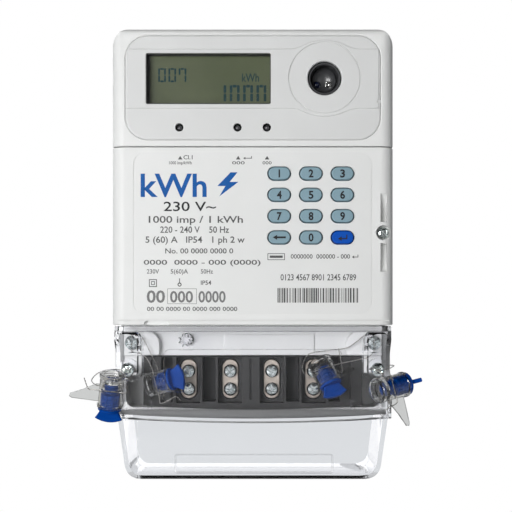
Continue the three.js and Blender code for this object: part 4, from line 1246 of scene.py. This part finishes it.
def make_rotor(place):
    space, length, _ = seal_space(place, "rotor")
    hub, core, disc = SEAL.hub, SEAL.core, SEAL.disc
    head, core_top, low, end = -4.4, -length * 0.58, -length + 0.2, -length - 0.4
    profile = [(0, head), (hub, head)]
    count = 3
    for i in range(count):
        z = head + (core_top - head) * (i + 0.5) / count
        profile += [(hub, z + 0.5), (hub + 1.2, z + 0.35), (hub + 1.2, z - 0.35), (hub, z - 0.5)]
    profile += [(hub, core_top), (core - 0.2, core_top)]
    for i in range(count):
        z0, z1 = (core_top + (low - core_top) * share / count for share in (i, i + 0.7))
        profile += [(core, z0 - 0.1), (core, z1), (core - 0.5, z1 - 0.1)]
    profile += [
        (core - 0.3, end), (disc - 0.15, end), (disc, end - 0.2), (disc, end - 0.8),
        (disc - 0.2, end - 1.0), (0, end - 1.0),
    ]
    bottom, top = low + 0.4, core_top - 0.3
    tooth = [(core - 0.4, bottom), (core + 0.3, bottom), (core + 0.3, top), (core - 0.4, top)]
    body = rings_of(turned(profile, space, 48), tooth, 0.3, 10, 0, space)
    foot, middle, neck = -length - 5.8, -length - 3.6, -length - 1
    outline = [(-6.2, foot), *bend((-6.2, foot), (0, foot - 3.2), (6.2, foot), 16)]
    outline += bend((6.2, foot), (4.6, middle), (4.0, neck), 8)
    outline += [(-4.0, neck), *bend((-4.0, neck), (-4.6, middle), (-6.2, foot), 8)[:-1]]
    return join(body, slab(outline, 1.0, 0.35, space))


# The seal wires' routes. Each is a loose end, the way in through the barrel, a loop to the screw
# that it seals, the way through the screw's head, and the way back. Points are (x, depth, height).
WIRES = {
    "outer_left": SimpleNamespace(
        loose=[(-76.4, 75, 49.6), (-75.4, 75.6, 46.8), (-74.2, 76, 44.6)],
        loop=[(-57, 71, 48.2), (-55.4, 64, 51)],
        anchor=[(-COVER_SCREW.x + u, COVER_SCREW.bore, COVER_SCREW.z) for u in (3.7, 0, -3.7)],
        back=[(-66.4, 57.4, 52.4), (-71.8, 61.4, 51), (-74.2, 65.4, 48)],
        first=1, second=1,
    ),
    "outer_right": SimpleNamespace(
        loose=[(60.2, 76.2, 35.2), (62.4, 77, 36.6)],
        loop=[(61.6, 71, 54.6), (65.4, 62, 54.4)],
        anchor=[(COVER_SCREW.x + u, COVER_SCREW.bore, COVER_SCREW.z) for u in (3.7, 0, -3.7)],
        back=[(54.9, 60, 53.4), (55.6, 66, 53.4)],
        first=1, second=-1,
    ),
    "inner_left": SimpleNamespace(
        loose=[(-33.6, 56, 37.8), (-36, 55.8, 39.8), (-39.4, 55.4, 38), (-43.4, 54.6, 36.6)],
        loop=[(-49.8, 52.4, 57.4), (-53.2, 50.2, 60)],
        anchor=[(-CASE_SCREW.x, CASE_SCREW.bore, z) for z in (61.3, 65.2, 69)],
        back=[(-55.4, 49, 69.6), (-52.2, 49.2, 67), (-49.2, 49.4, 61.6)],
        first=1, second=-1,
    ),
    "inner_right": SimpleNamespace(
        loose=[(40.6, 47.4, 62), (42, 46.4, 55), (42.2, 45.5, 50.4), (41, 45.3, 50.9)],
        loop=[(23.4, 51.6, 52), (26, 48.6, 59), (35, 47.8, 61), (45, 49.2, 62.6), (53.4, 49.4, 68.4)],
        anchor=[(CASE_SCREW.x, CASE_SCREW.bore, z) for z in (69, 65.2, 61.3)],
        back=[(55.2, 49.4, 58.4), (49.6, 50, 56.8)],
        first=1, second=1,
    ),
}
STRAND_RADIUS = 0.135
STRAND_OFFSET = 0.13
STRAND_PITCH = 2.6


def wire_points(place):
    space, length, _ = seal_space(place, "barrel")
    wire = WIRES[place]

    def chord(y, start):
        return [space @ Vector((x * start, y, -length * SEAL.hole)) for x in (7, 2.4, -2.4, -7)]

    def world(points):
        return [CASE_SPACE @ Vector(p) for p in points]

    return (
        world(wire.loose) + chord(SEAL.chord, wire.first) + world(wire.loop)
        + world(wire.anchor) + world(wire.back) + chord(-SEAL.chord, wire.second)
    )


def smooth_path(points, step):
    """A centripetal Catmull-Rom curve through the points, sampled about every step."""
    ends = [2 * points[0] - points[1], *points, 2 * points[-1] - points[-2]]
    path = []
    for k in range(1, len(ends) - 2):
        p0, p1, p2, p3 = ends[k - 1 : k + 3]
        t0 = 0.0
        t1 = t0 + max((p1 - p0).length, 1e-9) ** 0.5
        t2 = t1 + max((p2 - p1).length, 1e-9) ** 0.5
        t3 = t2 + max((p3 - p2).length, 1e-9) ** 0.5
        count = max(2, round((p2 - p1).length / step))
        for i in range(count):
            t = t1 + (t2 - t1) * i / count
            a1 = p0.lerp(p1, (t - t0) / (t1 - t0))
            a2 = p1.lerp(p2, (t - t1) / (t2 - t1))
            a3 = p2.lerp(p3, (t - t2) / (t3 - t2))
            b1 = a1.lerp(a2, (t - t0) / (t2 - t0))
            b2 = a2.lerp(a3, (t - t1) / (t3 - t1))
            path.append(b1.lerp(b2, (t - t1) / (t2 - t1)))
    return path + [points[-1]]


def frames_along(path):
    """Each point with two directions square to the path there, carried along without twist."""
    normal = (path[1] - path[0]).orthogonal().normalized()
    for i, point in enumerate(path):
        ahead = (path[min(i + 1, len(path) - 1)] - path[max(i - 1, 0)]).normalized()
        normal = (normal - ahead * normal.dot(ahead)).normalized()
        yield point, normal, ahead.cross(normal)


def tube(path, radius, sides=8):
    """A round bar along a path."""
    angles = [2 * math.pi * k / sides for k in range(sides)]
    rings = [
        [tuple(point + (normal * math.cos(a) + other * math.sin(a)) * radius) for a in angles]
        for point, normal, other in frames_along(path)
    ]
    return loft(rings, Matrix.Identity(4))


def make_wire(place):
    """Two strands twisted round the wire's route."""
    path = smooth_path(wire_points(place), 0.45 * MM)
    strands = []
    for phase in (0, math.pi):
        travelled, last, line = 0.0, path[0], []
        for point, normal, other in frames_along(path):
            travelled += (point - last).length
            last = point
            angle = phase + 2 * math.pi * travelled / (STRAND_PITCH * MM)
            side = normal * math.cos(angle) + other * math.sin(angle)
            line.append(point + side * STRAND_OFFSET * MM)
        strands.append(tube(line, STRAND_RADIUS * MM))
    return gather(strands)


# ---- The object -----------------------------------------------------------------------------

piece(make_base(), "base_tray", PAINT.case, "case", "case_plastic", "base")
piece(make_upper_cover(), "upper_cover_shell", PAINT.case, "case", "case_plastic", "upper_front_cover")
piece(make_lower_cover(), "lower_cover_shell", PAINT.case, "case", "case_plastic", "lower_front_cover")
piece(make_label(), "label_sheet", PAINT.label, "case", "panel_plastic")
piece(make_panel(), "display_panel_shell", PAINT.panel, "case", "panel_plastic", "display_panel")
piece(make_bezel_and_wall_shade(), "display_bezel_and_wall_shade", PAINT.black, "case", "black_plastic")
piece(make_segments(), "display_segments", PAINT.segment, "case", "lcd_glass")
piece(make_port_sleeve(), "port_bowl", PAINT.gloss, "case", "black_plastic", "port_sleeve")
piece(make_diodes(), "diode_carrier", PAINT.gloss, "case", "black_plastic", "ir_diode_pair")
for side, paint in ((-1, PAINT.dark_lens), (1, PAINT.chip)):
    name = "diode_receiver" if side < 0 else "diode_emitter"
    part = lens(PORT.x - 0.4 + side * 3.1, PORT.z - 1.7, 1.7, 56.6, 57.6)
    piece(part, name, paint, "case", "black_plastic")
lamps = [lens(x, LED_Z, 1.45, 55.0, 63.2) for x in LED_X]
lamp_bar = span("led_bar")
bar = box(lamp_bar.left, lamp_bar.right, lamp_bar.back, 55.2, lamp_bar.bottom, lamp_bar.top)
piece(join(bar, *lamps), "indicator_lamps", PAINT.lamp, "case", "black_plastic", "led_bar")

piece(make_black_print(), "label_print_black", PAINT.ink, "case", "black_plastic")
piece(make_blue_print(), "label_print_blue", PAINT.blue_ink, "case", "key_plastic_blue")
piece(make_grey_print(), "label_print_grey", PAINT.grey_ink, "case", "black_plastic")
piece(make_pale_print(), "label_print_pale", PAINT.pale_ink, "case", "black_plastic")

for key in KEYS:
    blue = key == "key_enter"
    paint = PAINT.key_blue if blue else PAINT.key
    slot = "key_plastic_blue" if blue else "key_plastic"
    piece(make_key(key), f"{key}_cap", paint, f"{key}_body", slot, key)
    piece(key_mark(key), f"{key}_mark", PAINT.ink, f"{key}_body", "black_plastic")

piece(make_block(), "terminal_block_body", PAINT.block, "case", "black_plastic", "terminal_block")
for place, name in enumerate(TERMINALS):
    node = f"terminal_{name}"
    piece(make_terminal(name), f"{node}_body", PAINT.nickel, "case", "nickel_brass", node)
    for row, turn in (("upper", 0.35), ("lower", 1.0)):
        screw = f"screw_{name}_{row}"
        part = make_screw(screw, 2.2, 1.9, turn=turn + 0.4 * place)
        piece(part, f"{screw}_body", PAINT.zinc, "case", "plated_steel", screw)
part = make_screw("side_screw", 2.0, 1.4, turn=0.7)
piece(part, "side_screw_body", PAINT.zinc, "case", "plated_steel", "side_screw")
for side in ("left", "right"):
    node = f"case_screw_{side}"
    hole = rod(upright(span(node).x, CASE_SCREW.bore), 0.8, 55, 75, 20)
    piece(make_screw(node, 2.8, 1.9, hole), f"{node}_body", PAINT.zinc, "case", "plated_steel", node)
    node = f"cover_screw_{side}"
    x = span(node).x
    hole = rod(sideways(COVER_SCREW.bore, span(node).z), 0.8, x - 5, x + 5, 20)
    part = make_screw(node, 2.8, 1.9, hole, 0.9)
    piece(part, f"{node}_body", PAINT.zinc, "terminal_cover", "plated_steel", node)

part = make_terminal_cover()
piece(part, "terminal_cover_shell", PAINT.cover, "terminal_cover", "clear_plastic", "terminal_cover")
piece(make_lip(), "terminal_cover_lip", PAINT.frosted, "terminal_cover", "clear_plastic")
for place in SEAL_PLACES:
    seal = f"seal_{place}"
    piece(make_barrel(place), f"{seal}_cup", PAINT.barrel, seal, "clear_plastic", f"{seal}_barrel")
    piece(make_rotor(place), f"{seal}_core", PAINT.rotor, f"{seal}_rotor", "seal_plastic", f"{seal}_rotor")
    piece(make_wire(place), f"{seal}_strands", PAINT.wire, seal, "seal_wire", f"{seal}_wire")

CARRIED = {
    "lcd_window": PAINT.window, "lcd_module": PAINT.lcd, "port_magnet_ring": PAINT.steel,
    "main_pcb": PAINT.board, "keypad_mat": PAINT.rubber, "relay": PAINT.black,
    "current_transformer": PAINT.black, "mains_capacitor": PAINT.capacitor,
    "battery": PAINT.battery, "tamper_plunger": PAINT.plunger,
}
for node, material in CARRIED.items():
    carried = frame["nodes"][node]
    carried.data.materials.clear()
    carried.data.materials.append(material)

# ---- Stage ----------------------------------------------------------------------------------

FLOOR_DROP = 0.10
FLOOR_REACH = 6.0
FLOOR_THROUGH_CLEAR = (0.75, 0.77, 0.785)
ROOM_LEVEL = 0.46
ROOM_SLOPE = (-0.06, 0.2, -0.52)


def make_floor():
    """A pale floor, which the camera sees evenly lit, straight and through the clear mouldings."""
    reach, height = FLOOR_REACH, SKIRT_BOTTOM * MM - FLOOR_DROP
    corners = [(x * reach, y * reach, height) for x, y in ((-1, -1), (1, -1), (1, 1), (-1, 1))]
    mesh = bpy.data.meshes.new("floor")
    mesh.from_pydata(corners, [], [(0, 1, 2, 3)])
    floor = linked(mesh)
    floor.name = "floor"
    paint = Shader("floor_white")
    paint.drive("Base Color", paint.blend(paint.noise(90, 1), (0.55, 0.56, 0.57), (0.58, 0.59, 0.60)))
    paint.drive("Roughness", 0.9)
    path = fed(paint, "LightPath", {})
    tone = paint.blend(path["Is Camera Ray"], FLOOR_THROUGH_CLEAR, (1, 1, 1))
    glow = fed(paint, "Emission", {"Color": tone})[0]
    through = arithmetic(paint, "SUBTRACT", path["Is Transmission Ray"], path["Diffuse Depth"], True)
    seen = arithmetic(paint, "MAXIMUM", path["Is Camera Ray"], through)
    paint.show(mixed(paint, seen, paint.main.outputs[0], glow))
    mesh.materials.append(paint.material)
    floor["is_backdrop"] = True


def make_world():
    """A white backdrop for the camera, and for all else a room that is brighter below and behind."""
    world = bpy.data.worlds.new("studio")
    world.use_nodes = True
    tree = world.node_tree
    backdrop = fed(tree, "Background", {"Color": (1, 1, 1, 1), "Strength": 1.0})[0]
    direction = fed(tree, "TexCoord", {})["Generated"]
    slope = fed(tree, "VectorMath", {0: direction, 1: ROOM_SLOPE}, operation="DOT_PRODUCT")["Value"]
    level = arithmetic(tree, "ADD", slope, ROOM_LEVEL, True)
    room = fed(tree, "Background", {"Color": (0.97, 0.985, 1.0, 1), "Strength": level})[0]
    camera_ray = fed(tree, "LightPath", {})["Is Camera Ray"]
    surface = mixed(tree, camera_ray, room, backdrop)
    tree.links.new(surface, tree.nodes["World Output"].inputs["Surface"])
    bpy.context.scene.world = world


def soft_light(name, position, target, size, power):
    lamp = bpy.data.lights.new(name, "AREA")
    lamp.shape = "RECTANGLE"
    lamp.size, lamp.size_y = size
    lamp.energy = power
    holder = bpy.data.objects.new(name, lamp)
    holder.location = position
    direction = Vector(target) - Vector(position)
    holder.rotation_euler = direction.to_track_quat("-Z", "Y").to_euler()
    holder.visible_transmission = False
    bpy.context.scene.collection.objects.link(holder)


make_floor()
make_world()
soft_light("key_light", (-0.56, -1.15, 0.04), (0, -0.03, -0.03), (0.66, 0.45), 12.4)
soft_light("fill_light", (0.75, -1.15, 0.1), (0, -0.03, -0.03), (0.5, 0.6), 1.0)
soft_light("back_light", (-0.3, 0.9, 0.2), (0, 0, 0), (0.9, 0.9), 3)

VIEW_DISTANCE = 0.6
VIEW_WIDTH = 0.2381
VIEW_PLANE = -0.06
VIEW_X = 0.0015
VIEW_HEIGHT = 81.6
scene = bpy.context.scene
scene.view_settings.view_transform = "Standard"
camera = bpy.data.cameras.new("camera")
camera.sensor_width = 36
camera.lens = camera.sensor_width * VIEW_DISTANCE / VIEW_WIDTH
camera.shift_y = 0.1
camera_holder = bpy.data.objects.new("camera", camera)
camera_holder.location = (VIEW_X, VIEW_PLANE - VIEW_DISTANCE, (VIEW_HEIGHT + SKIRT_BOTTOM) * MM)
camera_holder.rotation_euler = (QUARTER, 0, 0)
scene.collection.objects.link(camera_holder)
scene.camera = camera_holder

boxes = {"cad": cad_bounds, "visual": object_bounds()}
{name: [list(corner) for corner in box] for name, box in boxes.items()}
